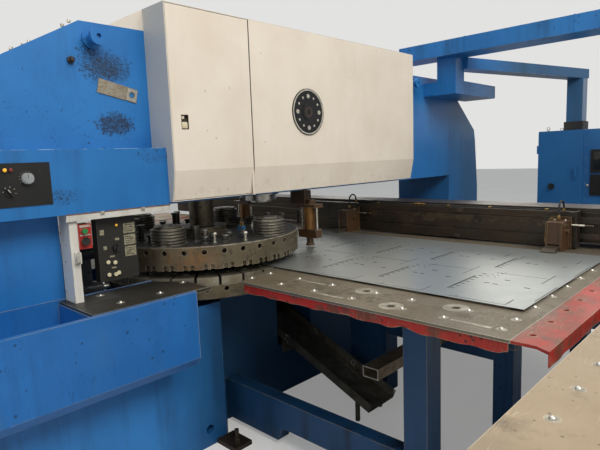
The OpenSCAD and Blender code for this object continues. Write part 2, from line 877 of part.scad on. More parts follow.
// Run of the belt round both wheels, grown by t from the groove floors
function belt_path(t) =
  let (r1 = flywheel_d / 2 - groove + t, r2 = pulley_d / 2 - groove + t,
       lean = asin((r1 - r2) / motor_y), n = 24)
  concat([for (i = [0:n]) let (a = 90 - lean + i * (180 + 2 * lean) / n) [r1 * cos(a), r1 * sin(a)]],
         [for (i = [0:n]) let (a = lean - 90 + i * (180 - 2 * lean) / n)
           [motor_y + r2 * cos(a), r2 * sin(a)]]);

// Flat belt between the motor pulley and the flywheel
module drive_belt() {
  x0 = wheel_x0 + (flywheel_t - belt_w) / 2;
  color("#1c1c1c") translate([0, 0, crank_h]) along_x(x0, x0 + belt_w) difference() {
    polygon(belt_path(belt_t));
    polygon(belt_path(1.6));
  }
}

// Ring under the roof of the throat that guides the ram
module ram_guide() {
  z0 = throat_roof - 60;
  ring_d = ram_d + 60;
  flange_d = ram_d + 100;
  flange_t = 22;
  color("#77797a") difference() {
    union() {
      bar_z(z0, throat_roof, ring_d, 0, 0);
      bar_z(throat_roof - flange_t, throat_roof, flange_d, 0, 0);
    }
    bar_z(z0 - eps, throat_roof + eps, ram_d + 2 * fit, 0, 0);
  }
}

module ram() {
  nose_h = 6;
  color("#9a9c9c") {
    bar_z(ram_h + nose_h, throat_roof + ram_in_roof - shaft_end_gap, ram_d, 0, 0);
    bar_z(ram_h, ram_h + nose_h, ram_d - 2 * nose_h, 0, 0);
  }
}

// Upper turret: rim with index holes and notches, station bores below, hub and shaft
module upper_turret() {
  notch = [18, 22, 28];
  notch_turn = [0.25, 3.75];
  land = 8;
  color("#6e6351") at_station(0) difference() {
    rotate_extrude($fn = 96) polygon([
      [0, upper_z], [turret_r, upper_z], [turret_r, upper_top - 4], [turret_r - 4, upper_top],
      [inner_pitch - 60, upper_top], [inner_pitch - 60, upper_top - land], [hub_d / 2 + 20, upper_top - land],
      [hub_d / 2, upper_top + 12], [hub_d / 2, upper_top + 40], [upper_shaft_d / 2, upper_top + 40],
      [upper_shaft_d / 2, throat_roof + shaft_in_roof - shaft_end_gap],
      [0, throat_roof + shaft_in_roof - shaft_end_gap]]);
    for (i = [0:index_holes - 1]) rotate([0, 0, index_phase + i * index_step]) {
      bar_x(turret_r - index_hole_depth, turret_r + eps, index_hole_d, 0, upper_index_z);
      for (t = notch_turn) rotate([0, 0, t])
        translate([turret_r - notch[0], -notch[1] / 2, upper_z - eps]) cube([30, notch[1], notch[2] + eps]);
    }
    for (i = [0:stations - 1]) rotate([0, 0, 90 + i * station_step])
      bar_z(upper_z - eps, upper_z + 8, 44, turret_pitch, 0);
  }
}

// Large sprung stations: base flange, coils, cap and head, each turned about its own axis
module spring_stations() {
  r = spring_d / 2;
  cap_h = 16;
  pitch = (spring_h - cap_h - 8) / spring_coils;
  color("#a39a7d") for (a = spring_angles) at_station(a) translate([spring_pitch, 0, upper_top])
    rotate_extrude() {
      square([r, 6]);
      square([r - pitch / 2, spring_h - cap_h]);
      for (i = [0:spring_coils - 1]) translate([r - pitch / 2, 8 + (i + 0.5) * pitch]) circle(d = pitch * 0.86, $fn = 24);
      translate([0, spring_h - cap_h]) square([r * 0.78, cap_h - 4]);
      square([r * 0.5, spring_h]);
    }
}

// True where a station is free of the large sprung ones
function station_free(a, r) = min([for (s = spring_angles)
  norm([r * cos(a) - spring_pitch * cos(s), r * sin(a) - spring_pitch * sin(s)])]) > spring_d / 2 + 30;

// Punch heads of the two station circles, tall and short in turn
module punch_heads() {
  rings = [[turret_pitch, 0], [inner_pitch, station_step / 2]];
  color("#8d8f8c") for (ring = rings) for (i = [0:stations - 1]) {
    a = 90 + ring[1] + i * station_step;
    wrapped = a > 180 ? a - 360 : a;
    tall = i % 4 == 2;
    if (station_free(wrapped, ring[0])) at_station(a) translate([ring[0], 0, upper_top]) rotate_extrude($fn = 32)
      punch_profile(tall ? tall_punch_h : short_punch_h);
  }
}

// Half section of a punch head of height h: flange, stem and head
module punch_profile(h) {
  r = punch_head_d / 2;
  polygon([[0, 0], [r, 0], [r, 7], [r - 6, 7], [r - 6, h - 14], [r, h - 14], [r, h - 3], [r - 3, h], [0, h]]);
}

// Lower turret: rim with index holes, scrap bores under the stations, hub and shaft
module lower_turret() {
  color("#71654f") at_station(0) difference() {
    rotate_extrude($fn = 96) polygon([
      [0, throat_floor - shaft_in_floor + shaft_end_gap], [lower_shaft_d / 2, throat_floor - shaft_in_floor + shaft_end_gap],
      [lower_shaft_d / 2, disc_z - 20], [hub_d / 2, disc_z - 20], [hub_d / 2, disc_z],
      [lower_turret_r - 6, disc_z], [lower_turret_r, disc_z + 6], [lower_turret_r, disc_top],
      [inner_pitch - 60, disc_top], [inner_pitch - 60, disc_top - 12], [0, disc_top - 12]]);
    for (i = [0:index_holes - 1]) rotate([0, 0, index_phase + i * index_step])
      bar_x(lower_turret_r - index_hole_depth, lower_turret_r + eps, index_hole_d, 0, lower_index_z);
    for (i = [0:stations - 1]) rotate([0, 0, 90 + i * station_step])
      bar_z(disc_z - eps, disc_top + eps, 56, turret_pitch, 0);
  }
}

// Die blocks in a ring on the lower turret, with slots between them and a die bore in each
module die_blocks() {
  slot = 16;
  r0 = inner_pitch + 20;
  r1 = lower_turret_r - 8;
  top = 3;
  color("#5d564a") at_station(0) translate([0, 0, disc_top]) linear_extrude(die_block_h - top) difference() {
    circle(r = r1, $fn = 96);
    circle(r = r0, $fn = 96);
    for (i = [0:stations - 1]) rotate(90 + i * station_step) {
      translate([turret_pitch, 0]) circle(d = i % 3 == 0 ? 40 : 24, $fn = 24);
      rotate(station_step / 2) translate([r0 - slot, -slot / 2]) square([r1 - r0 + 2 * slot, slot]);
    }
  }
}

// Housings of the two index pins on the near wall of the throat
module index_housing() {
  plate_x = housing_back * cos(pin_angle);
  plate_half = 65;
  plate_t = 20;
  body_d = 76;
  web = 24;
  bore_end = pin_back + 31;
  color("#55595b") difference() {
    union() {
      box([plate_x - plate_half, -throat_front, throat_floor + 24],
          [plate_x + plate_half, -throat_front + plate_t, upper_index_z + 70]);
      at_station(pin_angle) {
        for (z = [lower_index_z, upper_index_z]) bar_x(housing_front, housing_back, body_d, 0, z);
        box([housing_front + 50, -web / 2, lower_index_z], [housing_back - 10, web / 2, upper_index_z]);
      }
    }
    at_station(pin_angle) for (z = [lower_index_z, upper_index_z]) {
      bar_x(housing_front - eps, bore_end, index_hole_d, 0, z);
    }
  }
}

// The two index pins, driven together
module index_pins() {
  taper = 8;
  pins = [[turret_r, upper_index_z], [lower_turret_r, lower_index_z]];
  color("#b9bcbd") at_station(pin_angle) for (p = pins) {
    bar_x(p[0] + pin_gap + taper, pin_back, pin_d, 0, p[1]);
    translate([p[0] + pin_gap, 0, p[1]]) rotate([0, 90, 0]) cylinder(h = taper, d1 = pin_d - taper, d2 = pin_d);
  }
}

// Hold-down cylinders hung from the roof of the throat, one on each side
module hold_down_units() {
  d = 74;
  plate_z = 1218;
  plate_t = 22;
  plate_half = [84, 40];
  hanger = [half_w - 90, half_w + 40, 32];
  port = [20, 28];
  block_top = hold_block_z + hold_block_t;
  color("#7a4a2a") both_sides() difference() {
    union() {
      box([hold_x - plate_half[0], hold_y - plate_half[1], plate_z],
          [hold_x + plate_half[0], hold_y + plate_half[1], plate_z + plate_t]);
      box([hanger[0], hold_y - hanger[2], plate_z + plate_t], [hanger[1], hold_y + hanger[2], throat_roof]);
      bar_z(block_top + 2, plate_z, d, hold_x, hold_y);
      bar_z(plate_z + plate_t, plate_z + plate_t + port[1], d - port[0], hold_x + port[0], hold_y);
    }
    bar_z(block_top + 1, block_top + 110, hold_piston_d + 2 * fit, hold_x, hold_y);
    for (s = side_sign) {
      bar_z(plate_z - eps, plate_z + plate_t - 4, hold_rod_d + 2 * fit, hold_x + s * hold_rod_gap, hold_y);
    }
  }
}

// Foot, block, piston rod and guide rods of one hold-down
module hold_down_foot() {
  block_top = hold_block_z + hold_block_t;
  foot_z = sheet_top + 0.5 + hold_travel;
  foot_d = 58;
  foot_t = 12;
  block_half = [80, 28];
  rod_top = 1232;
  color("#6b4a33") {
    box([hold_x - block_half[0], hold_y - block_half[1], hold_block_z],
        [hold_x + block_half[0], hold_y + block_half[1], block_top]);
    bar_z(foot_z + foot_t, hold_block_z, foot_d - foot_t, hold_x, hold_y);
    bar_z(foot_z, foot_z + foot_t, foot_d, hold_x, hold_y);
    bar_z(block_top, block_top + 98, hold_piston_d, hold_x, hold_y);
    for (s = side_sign) bar_z(block_top, rod_top, hold_rod_d, hold_x + s * hold_rod_gap, hold_y);
  }
}

module hold_down_foot_right() {
  hold_down_foot();
}

module hold_down_foot_left() {
  mirror([1, 0, 0]) hold_down_foot();
}

// Places of the transfer balls on the right half of the centre table
function table_balls() = concat(
  [for (i = [0:ball_cols - 1]) for (j = [0, 1]) ball_place(i, j)],
  [for (i = [0:ball_cols - 2]) for (j = [0:2]) [ball_x0 + i * ball_pitch, ball_far_y + j * ball_far_step]],
  [for (j = [0:10]) [ball_x0 + (ball_cols - 1) * ball_pitch, ball_far_y + j * ball_far_step]]);

// A near-row ball, moved aside where it shares its place with a round insert
function ball_place(i, j) = [ball_x0 + i * ball_pitch + (has_insert(i, j) ? 36 : 0), ball_row_y + j * ball_row_step];

// Round inserts stand at every other place of the two near rows
function has_insert(i, j) = (i == 3 && j == 1) || (i == 4 && j == 0) || (i == 5 && j == 1);

// Places of the round inserts
function insert_places() = [for (i = [3:5]) for (j = [0, 1]) if (has_insert(i, j))
  [ball_x0 + i * ball_pitch - 20, ball_row_y + j * ball_row_step + 6]];

// Plan of the right half of the centre table, with its turret cut-out and cup holes
module table_plan() {
  edge_x = turret_clear - 11;
  edge_end = -456;
  edge = [[edge_x + 91, -table_front], [edge_x + 62, -730], [edge_x + 36, -639], [edge_x + 8, -542],
          [edge_x, edge_end]];
  difference() {
    polygon(concat([[table_out, -table_front], [table_out, table_back], [0, table_back], [0, edge_end]],
                   [for (i = [4:-1:0]) edge[i]]));
    translate([0, -turret_pitch]) circle(r = turret_clear - 9, $fn = 96);
    for (p = table_balls()) translate(p) circle(d = cup_d + 2 * fit, $fn = 24);
    for (p = insert_places()) translate(p) circle(d = insert_bore, $fn = 24);
  }
}

// Steel centre table on both sides and through the throat
module centre_table() {
  color("#6b6253") both_sides() translate([0, 0, table_h - table_t]) linear_extrude(table_t) table_plan();
}

// Red painted trim: near lip, edge strip with its bolt holes and outer fold
module table_trim() {
  t = 4;
  strip_x1 = table_out + strip_w;
  strip_y0 = -table_front - 26;
  holes = 15;
  hole_step = 172;
  hole_d = 22;
  hole_in = 38;
  hole_y0 = -683;
  corner_cut = 46;
  lip_x = [700, table_out - t];
  lip_in = 40;
  under = table_h - table_t;
  lip_z = under - lip_h + table_t;
  color("#a82a22") both_sides() {
    box([lip_x[0], -table_front, lip_z], [lip_x[1], -table_front + t, under]);
    box([lip_x[0], -table_front, under - t], [lip_x[1], -table_front + lip_in, under]);
    translate([0, 0, under]) linear_extrude(table_t) difference() {
      polygon([[table_out, -table_front], [strip_x1 - corner_cut, -table_front], [strip_x1, strip_y0],
               [strip_x1, table_back], [table_out, table_back]]);
      for (i = [0:holes - 1]) translate([table_out + hole_in, hole_y0 + i * hole_step]) circle(d = hole_d, $fn = 24);
    }
    box([strip_x1 - t, strip_y0, lip_z], [strip_x1, table_back, under]);
  }
}

// Cup with a steel ball that stands above the table
module ball_unit() {
  bar_z(table_h - table_t, table_h + 0.5, cup_d, 0, 0);
  translate([0, 0, pass_h - ball_d / 2]) sphere(d = ball_d, $fn = 24);
}

// Transfer balls, round inserts and wear strips of the centre table and the shelves
module ball_transfers() {
  strips = [[0, 114], [1, -21], [4, -8]];
  strip = [152, 20, 1];
  insert_d = 104;
  color("#c9cbc8") both_sides() {
    for (p = concat(table_balls(), shelf_balls())) translate(p) ball_unit();
    for (p = insert_places()) translate([p[0], p[1], table_h]) difference() {
      cylinder(h = strip[2], d = insert_d);
      translate([0, 0, -eps]) cylinder(h = strip[2] + 2 * eps, d = insert_bore);
    }
    for (s = strips) translate([ball_x0 + (s[0] + 1.5) * ball_pitch, ball_row_y + s[1], table_h])
      translate([-strip[0] / 2, -strip[1] / 2, 0]) cube(strip);
  }
}

// Blue stands and beams that carry the centre table
module table_frame() {
  top = table_h - table_t;
  leg_x = 1516;
  leg_w = 113;
  leg_x1 = leg_x + leg_w;
  far_leg_y = [310, 1690];
  beam_y = [-600, -520];
  beam_z = [30, 265];
  beam_step = [720, 760, 110];
  tie_w = 80;
  tie_x = [820, half_w];
  pier = [[520, 300, 0], [tie_x[0], 420, top]];
  rail_h = 60;
  rail_x0 = 660;
  rib_x = [leg_x + 20, leg_x + 90];
  bolt_gap = 0.5; // gasket line where ribs, ties, arms and stays are bolted to the legs
  arm_in = 20;
  arm_w = 60;
  arm_t = 50;
  arm_y = -700;
  arm_end = table_out - 10;
  stay_z = [rail_top - 75, rail_top - 15];
  sills = [500, 1500];
  sill_w = 100;
  color("#20598f") both_sides() {
    along_y(beam_y[0], beam_y[1]) polygon([[half_w, beam_z[0]], [beam_step[0], beam_z[0]],
      [beam_step[1], beam_step[2]], [leg_x, beam_step[2]], [leg_x, beam_z[1]], [half_w, beam_z[1]]]);
    box([leg_x, beam_y[0], 0], [leg_x1, beam_y[0] + leg_w, top]);
    box([rail_x0, beam_y[0], top - rail_h], [leg_x, beam_y[1], top]);
    box(pier[0], pier[1]);
    for (i = [0, 1]) {
      y = far_leg_y[i];
      box([leg_x, y, 0], [leg_x1, y + leg_w, top]);
      box([tie_x[i] + bolt_gap, y, support_z - tie_w], [leg_x - bolt_gap, y + tie_w, support_z]);
      box([leg_x1 + bolt_gap, y + arm_in, top - arm_t], [arm_end, y + arm_in + arm_w, top]);
      box([leg_x1 + bolt_gap, y + arm_in, stay_z[0]], [rail_x - rail_w / 2, y + arm_in + arm_w, stay_z[1]]);
    }
    box([rib_x[0], beam_y[0] + leg_w + bolt_gap, top - rail_h], [rib_x[1], far_leg_y[0] - bolt_gap, top]);
    box([rib_x[0], far_leg_y[0] + leg_w + bolt_gap, top - rail_h], [rib_x[1], far_leg_y[1] - bolt_gap, top]);
    box([rib_x[1], arm_y, top - arm_t], [arm_end, arm_y + arm_w, top]);
    box([leg_x, arm_y, top - arm_t], [rib_x[1], beam_y[0] - bolt_gap, top]);
  }
  color("#20598f") for (y = sills) box([-half_w + 60, y, throat_floor], [half_w - 60, y + sill_w, top]);
}

// Bare steel rectangular tube laid across the lower beams
module support_tube() {
  wall = 5;
  x = [1190, 1280];
  y = [-450, 1770];
  h = 55;
  color("#8b8478") both_sides() difference() {
    box([x[0], y[0], support_z], [x[1], y[1], support_z + h]);
    box([x[0] + wall, y[0] - eps, support_z + wall], [x[1] - wall, y[1] + eps, support_z + h - wall]);
  }
}

// Folded chute that carries the slugs out of the frame
module scrap_chute() {
  slope = 22.6;
  t = 4;
  wall = 55;
  half = 125;
  x0 = -100;
  x1 = 978;
  z1 = 80;
  apron_z = [270, 372];
  leg = [20, 20, 118];
  leg_x = 880;
  l = (x1 - x0) / cos(slope);
  color("#b4b2a8") {
    translate([x1, 0, z1]) rotate([0, slope, 0]) translate([-l, 0, 0]) difference() {
      translate([0, -half, 0]) cube([l, 2 * half, wall]);
      translate([-eps, -half + t, t]) cube([l + 2 * eps, 2 * (half - t), wall]);
    }
    box([half_w, -half, apron_z[0]], [half_w + t, half, apron_z[1]]);
    for (s = side_sign) translate([leg_x, s * (half - 12) - leg[1] / 2, 0]) cube(leg);
  }
}

// Floor rails on their stands, under the side tables
module slide_rails() {
  stands = [-1400, 200, 1800];
  stand_w = 90;
  foot_t = 12;
  head_h = 12;
  head_half = 24;
  under = rail_top - 80;
  y0 = -1520;
  y1 = 2020;
  color("#3b4246") both_sides() {
    box([rail_x - rail_w / 2, y0, under], [rail_x + rail_w / 2, y1, rail_top - head_h]);
    box([rail_x - head_half, y0, rail_top - head_h], [rail_x + head_half, y1, rail_top]);
    for (y = stands) {
      box([rail_x - stand_w / 2, y, foot_t], [rail_x + stand_w / 2, y + stand_w, under]);
      box([rail_x - stand_w, y - stand_w / 2, 0], [rail_x + stand_w, y + 1.5 * stand_w, foot_t]);
    }
  }
}

// Long beam of the carriage base, with its top plate, front guide bars and end shoes
module carriage_base() {
  bar_y1 = carriage_back + rest_gap;
  bar_h = 32;
  bar_in = 60;
  lap = [10, 20];
  leg_half = 50;
  leg_in = 20;
  color("#57503f") {
    box([-base_half, base_y, base_z], [base_half, base_y + base_d, base_plate_z]);
    box([-base_half, base_y - lap[0], base_plate_z],
        [base_half, base_y + base_d + lap[1], base_plate_z + base_plate_t]);
    for (z = [base_z + 30, base_plate_z - 60])
      box([-base_half + bar_in, bar_y1, z], [base_half - bar_in, base_y, z + bar_h]);
    for (s = side_sign) {
      box([s * rail_x - leg_half, base_y + leg_in, rail_top + rest_gap],
          [s * rail_x + leg_half, base_y + base_d - leg_in, base_z]);
    }
  }
}

// Plan of one side table, with its cup holes
module side_table_plan() {
  difference() {
    translate([side_table_in, -side_table_front])
      square([side_table_out - side_table_in, side_table_front + carriage_back]);
    for (p = side_balls()) translate(p) circle(d = cup_d + 2 * fit, $fn = 24);
  }
}

// Places of the transfer balls on the right side table
function side_balls() = let (first = [side_table_in + 90, 100 - side_table_front], step = [220, 195])
  [for (i = [0:2]) for (j = [0:10]) [first[0] + i * step[0], first[1] + j * step[1]]];

// Tables that travel with the carriage base, on box beams with slide shoes
module side_tables() {
  under = table_h - table_t;
  beam = 80;
  beam_half = 50;
  outer_x = side_table_out - 150;
  cross_w = 60;
  shoe_half = 40;
  shoe_y = [-980, -860];
  y0 = -side_table_front;
  y1 = carriage_back;
  t = 4;
  color("#a98f72") both_sides() {
    translate([0, 0, under]) linear_extrude(table_t) side_table_plan();
    box([side_table_in, y0, under - lip_h], [side_table_in + t, y1, under]);
    box([side_table_out - t, y0, under - lip_h], [side_table_out, y1, under]);
    box([side_table_in + t, y0, under - lip_h], [side_table_out - t, y0 + t, under]);
    box([rail_x - beam_half, y0 + 30, under - beam], [rail_x + beam_half, base_y + 20, under]);
    box([outer_x, y0 + 30, under - beam], [outer_x + beam, y1 - 20, under]);
    for (y = [y0 + cross_w, -300, y1 - 100]) {
      box([rail_x + beam_half, y, under - beam], [outer_x, y + cross_w, under]);
    }
    box([rail_x - shoe_half, shoe_y[0], rail_top + rest_gap], [rail_x + shoe_half, shoe_y[1], under - beam]);
  }
}

module side_table_balls() {
  color("#c9cbc8") both_sides() for (p = side_balls()) translate(p) ball_unit();
}

// Cross carriage: dark beam with two front grooves and end plates
module cross_carriage() {
  x0 = carriage_right - carriage_l;
  grooves = [1020, 1118];
  groove_h = 12;
  groove_depth = 8;
  end_t = 12;
  end_out = 6;
  color("#3a322a") {
    difference() {
      box([x0, carriage_y, carriage_z], [carriage_right - end_t, carriage_back, carriage_top]);
      for (z = grooves) {
        box([x0 - eps, carriage_y - eps, z], [carriage_right, carriage_y + groove_depth, z + groove_h]);
      }
    }
    for (x = [x0 - end_t, carriage_right - end_t])
      box([x, carriage_y - end_out, carriage_z], [x + end_t, carriage_back, carriage_top + 4]);
  }
}

// Fixed parts of the workholders: mount, lower jaw, cheeks, cylinder block and fittings
module workholders() {
  half = holder_w / 2;
  cheek = 11;
  mount_t = 16;
  mount_y = carriage_y - mount_t;
  lap = 12;
  jaw_z = table_h + 0.25;
  body_z = 988;
  port_d = 22;
  side_port = [carriage_y - 70, 1060, 24, 16];
  rod = [carriage_y - 14, 1090, 12, 130];
  piston = [jaw_pin_y + 50, 1040, 40];
  color("#6a4630") for (x = holder_sides) difference() {
    union() {
      box([x - half - lap, mount_y, jaw_z], [x + half + lap, carriage_y, holder_top + 20]);
      box([x - half, holder_y0, jaw_z], [x + half, mount_y, pass_h + 0.05]);
      for (s = side_sign) {
        cheek_x = s > 0 ? x + half - cheek : x - half;
        box([cheek_x, jaw_pin_y - 25, pass_h], [cheek_x + cheek, mount_y, holder_top]);
      }
      box([x - half, holder_y0 + 110, body_z], [x + half, mount_y, holder_top]);
      bar_x(x - half, x + half, jaw_pin_d, jaw_pin_y, jaw_pin_z);
      bar_z(holder_top, holder_top + hose_port_h, port_d, x, hose_y);
      bar_x(x + half, x + half + side_port[3], side_port[2], side_port[0], side_port[1]);
      bar_x(x + half + lap, x + half + rod[3], rod[2], rod[0], rod[1]);
    }
    bar_z(body_z - eps, piston[1], piston[2], x, piston[0]);
  }
}

// Upper jaw: lever on the pin, thin at its tip
module jaw(x) {
  half = holder_w / 2 - 11.5;
  z0 = sheet_top + rest_gap;
  color("#8a8478") difference() {
    union() {
      along_x(x - half, x + half) polygon([
        [holder_y0 + 4, z0], [jaw_pin_y - 10, z0], [jaw_pin_y + 35, z0 + 8], [jaw_pin_y + 70, z0 + 14],
        [jaw_pin_y + 70, z0 + 24], [jaw_pin_y - 10, z0 + 29], [holder_y0 + 40, z0 + 22], [holder_y0 + 4, z0 + 9]]);
      box([x - holder_w / 2 + 2, holder_y0 + 4, z0], [x + holder_w / 2 - 2, holder_y0 + 60, z0 + 8]);
    }
    bar_x(x - holder_w, x + holder_w, jaw_pin_d + 2 * fit, jaw_pin_y, jaw_pin_z);
  }
}

module jaw_right() {
  jaw(holder_sides[0]);
}

module jaw_left() {
  jaw(holder_sides[1]);
}

// Cut-outs of one nested blank: near cut, side slots, ladder of short slots, holes
module blank_cuts() {
  w = 4;
  cuts = [[65, 0, 240, w], [303, 0, w, 88], [0, 112, w, 284], [376, 110, w, 270],
          [303, 404, w, 98], [94, 0, 3, 26]];
  marks = [[90, 287], [131, 284], [149, 378], [268, 292]];
  rungs = 8;
  for (c = cuts) translate([c[0], c[1]]) square([c[2], c[3]]);
  for (m = marks) translate(m) square([26, 9]);
  for (i = [0:rungs - 1]) translate([12, 118 + i * 47]) square([22, 8]);
  for (i = [0:5]) translate([54 + (i > 2 ? 34 : i * 6), 414 + i % 3 * 44]) circle(d = 9, $fn = 16);
}

// Sheet held by the workholders, with two rows of nested blanks
module punched_sheet() {
  x0 = sheet_right - sheet_l;
  y1 = holder_y0 + 74;
  nest = [372, 507];
  first = [sheet_right - 385, y1 - sheet_w + 19];
  color("#9fa9ad") translate([0, 0, sheet_z]) linear_extrude(sheet_t) difference() {
    translate([x0, y1 - sheet_w]) square([sheet_l, sheet_w]);
    for (i = [0:5]) for (j = [0, 1]) translate([first[0] - i * nest[0], first[1] + j * nest[1]]) blank_cuts();
  }
}

// Air hoses of the workholders: an arch from the beam to each cylinder block
module carriage_hoses() {
  d = 12;
  collar_d = 22;
  collar_h = 14;
  y_beam = carriage_y + carriage_t / 2;
  r = (y_beam - hose_y) / 2;
  arch_z = carriage_top + 24;
  color("#151515") for (x = holder_sides) {
    bar_z(holder_top + hose_port_h, arch_z, d, x, hose_y);
    bar_z(carriage_top, arch_z, d, x, y_beam);
    translate([x, hose_y + r, arch_z]) rotate([90, 0, 90]) rotate_extrude(angle = 180) translate([r, 0]) circle(d = d);
    bar_z(carriage_top, carriage_top + collar_h, collar_d, x, y_beam);
  }
}

// Square cable duct over the machine, turned down to the floor at its right end
module overhead_duct() {
  drop_w = 200;
  flange = 30;
  flange_t = 10;
  seam = 6;
  bead = 3;
  x_seam = [700, 1500, 2300];
  color("#2b77bb") {
    box([duct_left, duct_y, duct_z], [duct_right, duct_y + duct_d, duct_z + duct_h]);
    box([duct_right - drop_w, duct_y, 0], [duct_right, duct_y + duct_d, duct_z]);
    box([duct_right - drop_w - flange, duct_y - flange, 0],
        [duct_right + flange, duct_y + duct_d + flange, flange_t]);
    for (x = x_seam) box([x, duct_y - bead, duct_z], [x + seam, duct_y + duct_d, duct_z + duct_h + bead]);
  }
}

// Blue bracket on the frame's side that carries the duct and the cable arm
module duct_bracket() {
  y0 = duct_y + 100;
  y1 = 2480;
  z0 = 2030;
  z1 = 2140;
  color("#2b77bb") {
    box([half_w, y0, z0], [upright_x1, y1, z1]);
    box([upright_x0, y0, z1], [upright_x1, duct_y + duct_d, duct_z]);
  }
}

// Cable arm from the bracket to the cabinet, with its upright post
module cable_arm() {
  half = arm_post_w / 2;
  y0 = duct_y + duct_d;
  tail = 60;
  cut = [1200, 200];
  start_x = upright_x1 - 45;
  reach = norm([arm_post_x - start_x, arm_post_y - y0]) + half;
  turn = atan2(arm_post_x - start_x, arm_post_y - y0);
  color("#2b77bb") {
    translate([0, 0, duct_z - arm_h]) linear_extrude(arm_h) difference() {
      translate([start_x, y0]) rotate(-turn) translate([-half, -tail]) square([arm_post_w, reach + tail]);
      translate([0, y0 - cut[1]]) square(cut);
    }
    box([arm_post_x - half, arm_post_y - half, collar_z],
        [arm_post_x + half, arm_post_y + half, duct_z - arm_h]);
  }
}

module arm_collar() {
  half = arm_post_w / 2 + 16;
  color("#20201f") box([arm_post_x - half, arm_post_y - half, cabinet_h],
                       [arm_post_x + half, arm_post_y + half, collar_z]);
}

// Control cabinet, open behind its door, with its mounting plate and devices inside
module cabinet() {
  x1 = cabinet_x + cabinet_w;
  wall = 40;
  plinth = 90;
  inner_x1 = cabinet_x + cabinet_door_w - 10;
  depth = 260;
  seam_x = [inner_x1 + 30, inner_x1 + 36];
  roll_d = 14;
  pin_bore = 8 + 2 * fit;
  knuckle = [60 + rest_gap, 84];
  rows = [420, 760, 1100, 1400];
  rail_t = 14;
  rail_h = 35;
  rail_in = 20;
  device = [62, 70, 95];
  device_step = 82;
  color("#2a6fb0") {
    difference() {
      box([cabinet_x, cabinet_y, 0], [x1, cabinet_y + cabinet_d, cabinet_h]);
      box([cabinet_x + wall, cabinet_y - eps, plinth + wall], [inner_x1, cabinet_y + depth, cabinet_h - wall]);
      box([seam_x[0], cabinet_y - eps, plinth], [seam_x[1], cabinet_y + 3, cabinet_h]);
    }
    for (z = hinge_zs) {
      difference() {
        union() {
          bar_z(z + knuckle[0], z + knuckle[1], roll_d, cabinet_hinge[0], cabinet_hinge[1]);
          box([cabinet_hinge[0] - roll_d / 2, cabinet_hinge[1], z + knuckle[0]],
              [cabinet_x, cabinet_y + 12, z + knuckle[1]]);
        }
        bar_z(z + knuckle[0] - eps, z + knuckle[1] + eps, pin_bore, cabinet_hinge[0], cabinet_hinge[1]);
      }
    }
    for (z = rows) {
      box([cabinet_x + wall + rail_in, cabinet_y + depth - rail_t, z],
          [inner_x1 - rail_in, cabinet_y + depth, z + rail_h]);
      for (i = [0:3]) translate([cabinet_x + wall + 34 + i * device_step, cabinet_y + depth - rail_t - device[1], z - 30])
        cube(device);
    }
  }
}

// Cabinet door on two upright pins, with a bore for the main switch
module cabinet_door() {
  z0 = 96;
  z1 = cabinet_h - 12;
  x0 = cabinet_x + 6;
  x1 = cabinet_x + cabinet_door_w;
  roll_d = 14;
  roll_h = 60;
  hinge_pin_d = 8;
  hinge_pin_h = 88;
  leaf_half = 3;
  grip_x = [x1 - 70, x1 - 50];
  grip_out = [34, 22];
  grip_z = [1238, 1350];
  stem_h = 10;
  stem_in = 6;
  color("#2f7bbf") difference() {
    union() {
      box([x0, door_face, z0], [x1, door_face + door_t, z1]);
      for (z = hinge_zs) {
        bar_z(z, z + roll_h, roll_d, cabinet_hinge[0], cabinet_hinge[1]);
        bar_z(z + roll_h, z + hinge_pin_h, hinge_pin_d, cabinet_hinge[0], cabinet_hinge[1]);
        box([cabinet_hinge[0], cabinet_hinge[1] - leaf_half, z], [x0 + 4, cabinet_hinge[1] + leaf_half, z + roll_h]);
      }
      box([grip_x[0], door_face - grip_out[0], grip_z[0]], [grip_x[1], door_face - grip_out[1], grip_z[1]]);
      for (z = [grip_z[0] + stem_in, grip_z[1] - stem_in - stem_h]) {
        box([grip_x[0] + 2, door_face - grip_out[1] - 2, z], [grip_x[1] - 2, door_face, z + stem_h]);
      }
    }
    bar_y(door_face - eps, door_face + door_t + eps, main_switch_d + 2 * fit, main_switch[0], main_switch[1]);
  }
}

// Main switch: round knob with a grip, on its shaft through the door
module cabinet_switch() {
  back = door_face - 1;
  front = back - 11;
  knob_d = 62;
  grip_half = [9, 30];
  grip_out = 22;
  color("#1c1c1c") {
    bar_y(front, back, knob_d, main_switch[0], main_switch[1]);
    bar_y(back, cabinet_y + 2, main_switch_d, main_switch[0], main_switch[1]);
    box([main_switch[0] - grip_half[0], front - grip_out, main_switch[1] - grip_half[1]],
        [main_switch[0] + grip_half[0], front, main_switch[1] + grip_half[1]]);
  }
}

// Screen bezel and key pad on the cabinet's front
module console_screen() {
  x = cabinet_x + 510;
  w = 340;
  t = 14;
  screen_z = [1290, 1520];
  bezel = 24;
  glass_depth = 6;
  pad_z = [1060, 1270];
  key = [28, 4, 28];
  first = [22, 22];
  step = [38, 42];
  color("#26292b") {
    difference() {
      box([x, cabinet_y - t, screen_z[0]], [x + w, cabinet_y, screen_z[1]]);
      box([x + bezel, cabinet_y - t - eps, screen_z[0] + bezel],
          [x + w - bezel, cabinet_y - t + glass_depth, screen_z[1] - bezel]);
    }
    box([x, cabinet_y - t, pad_z[0]], [x + w, cabinet_y, pad_z[1]]);
    for (i = [0:7]) for (j = [0:3])
      translate([x + first[0] + i * step[0], cabinet_y - t - key[1], pad_z[0] + first[1] + j * step[1]]) cube(key);
  }
}

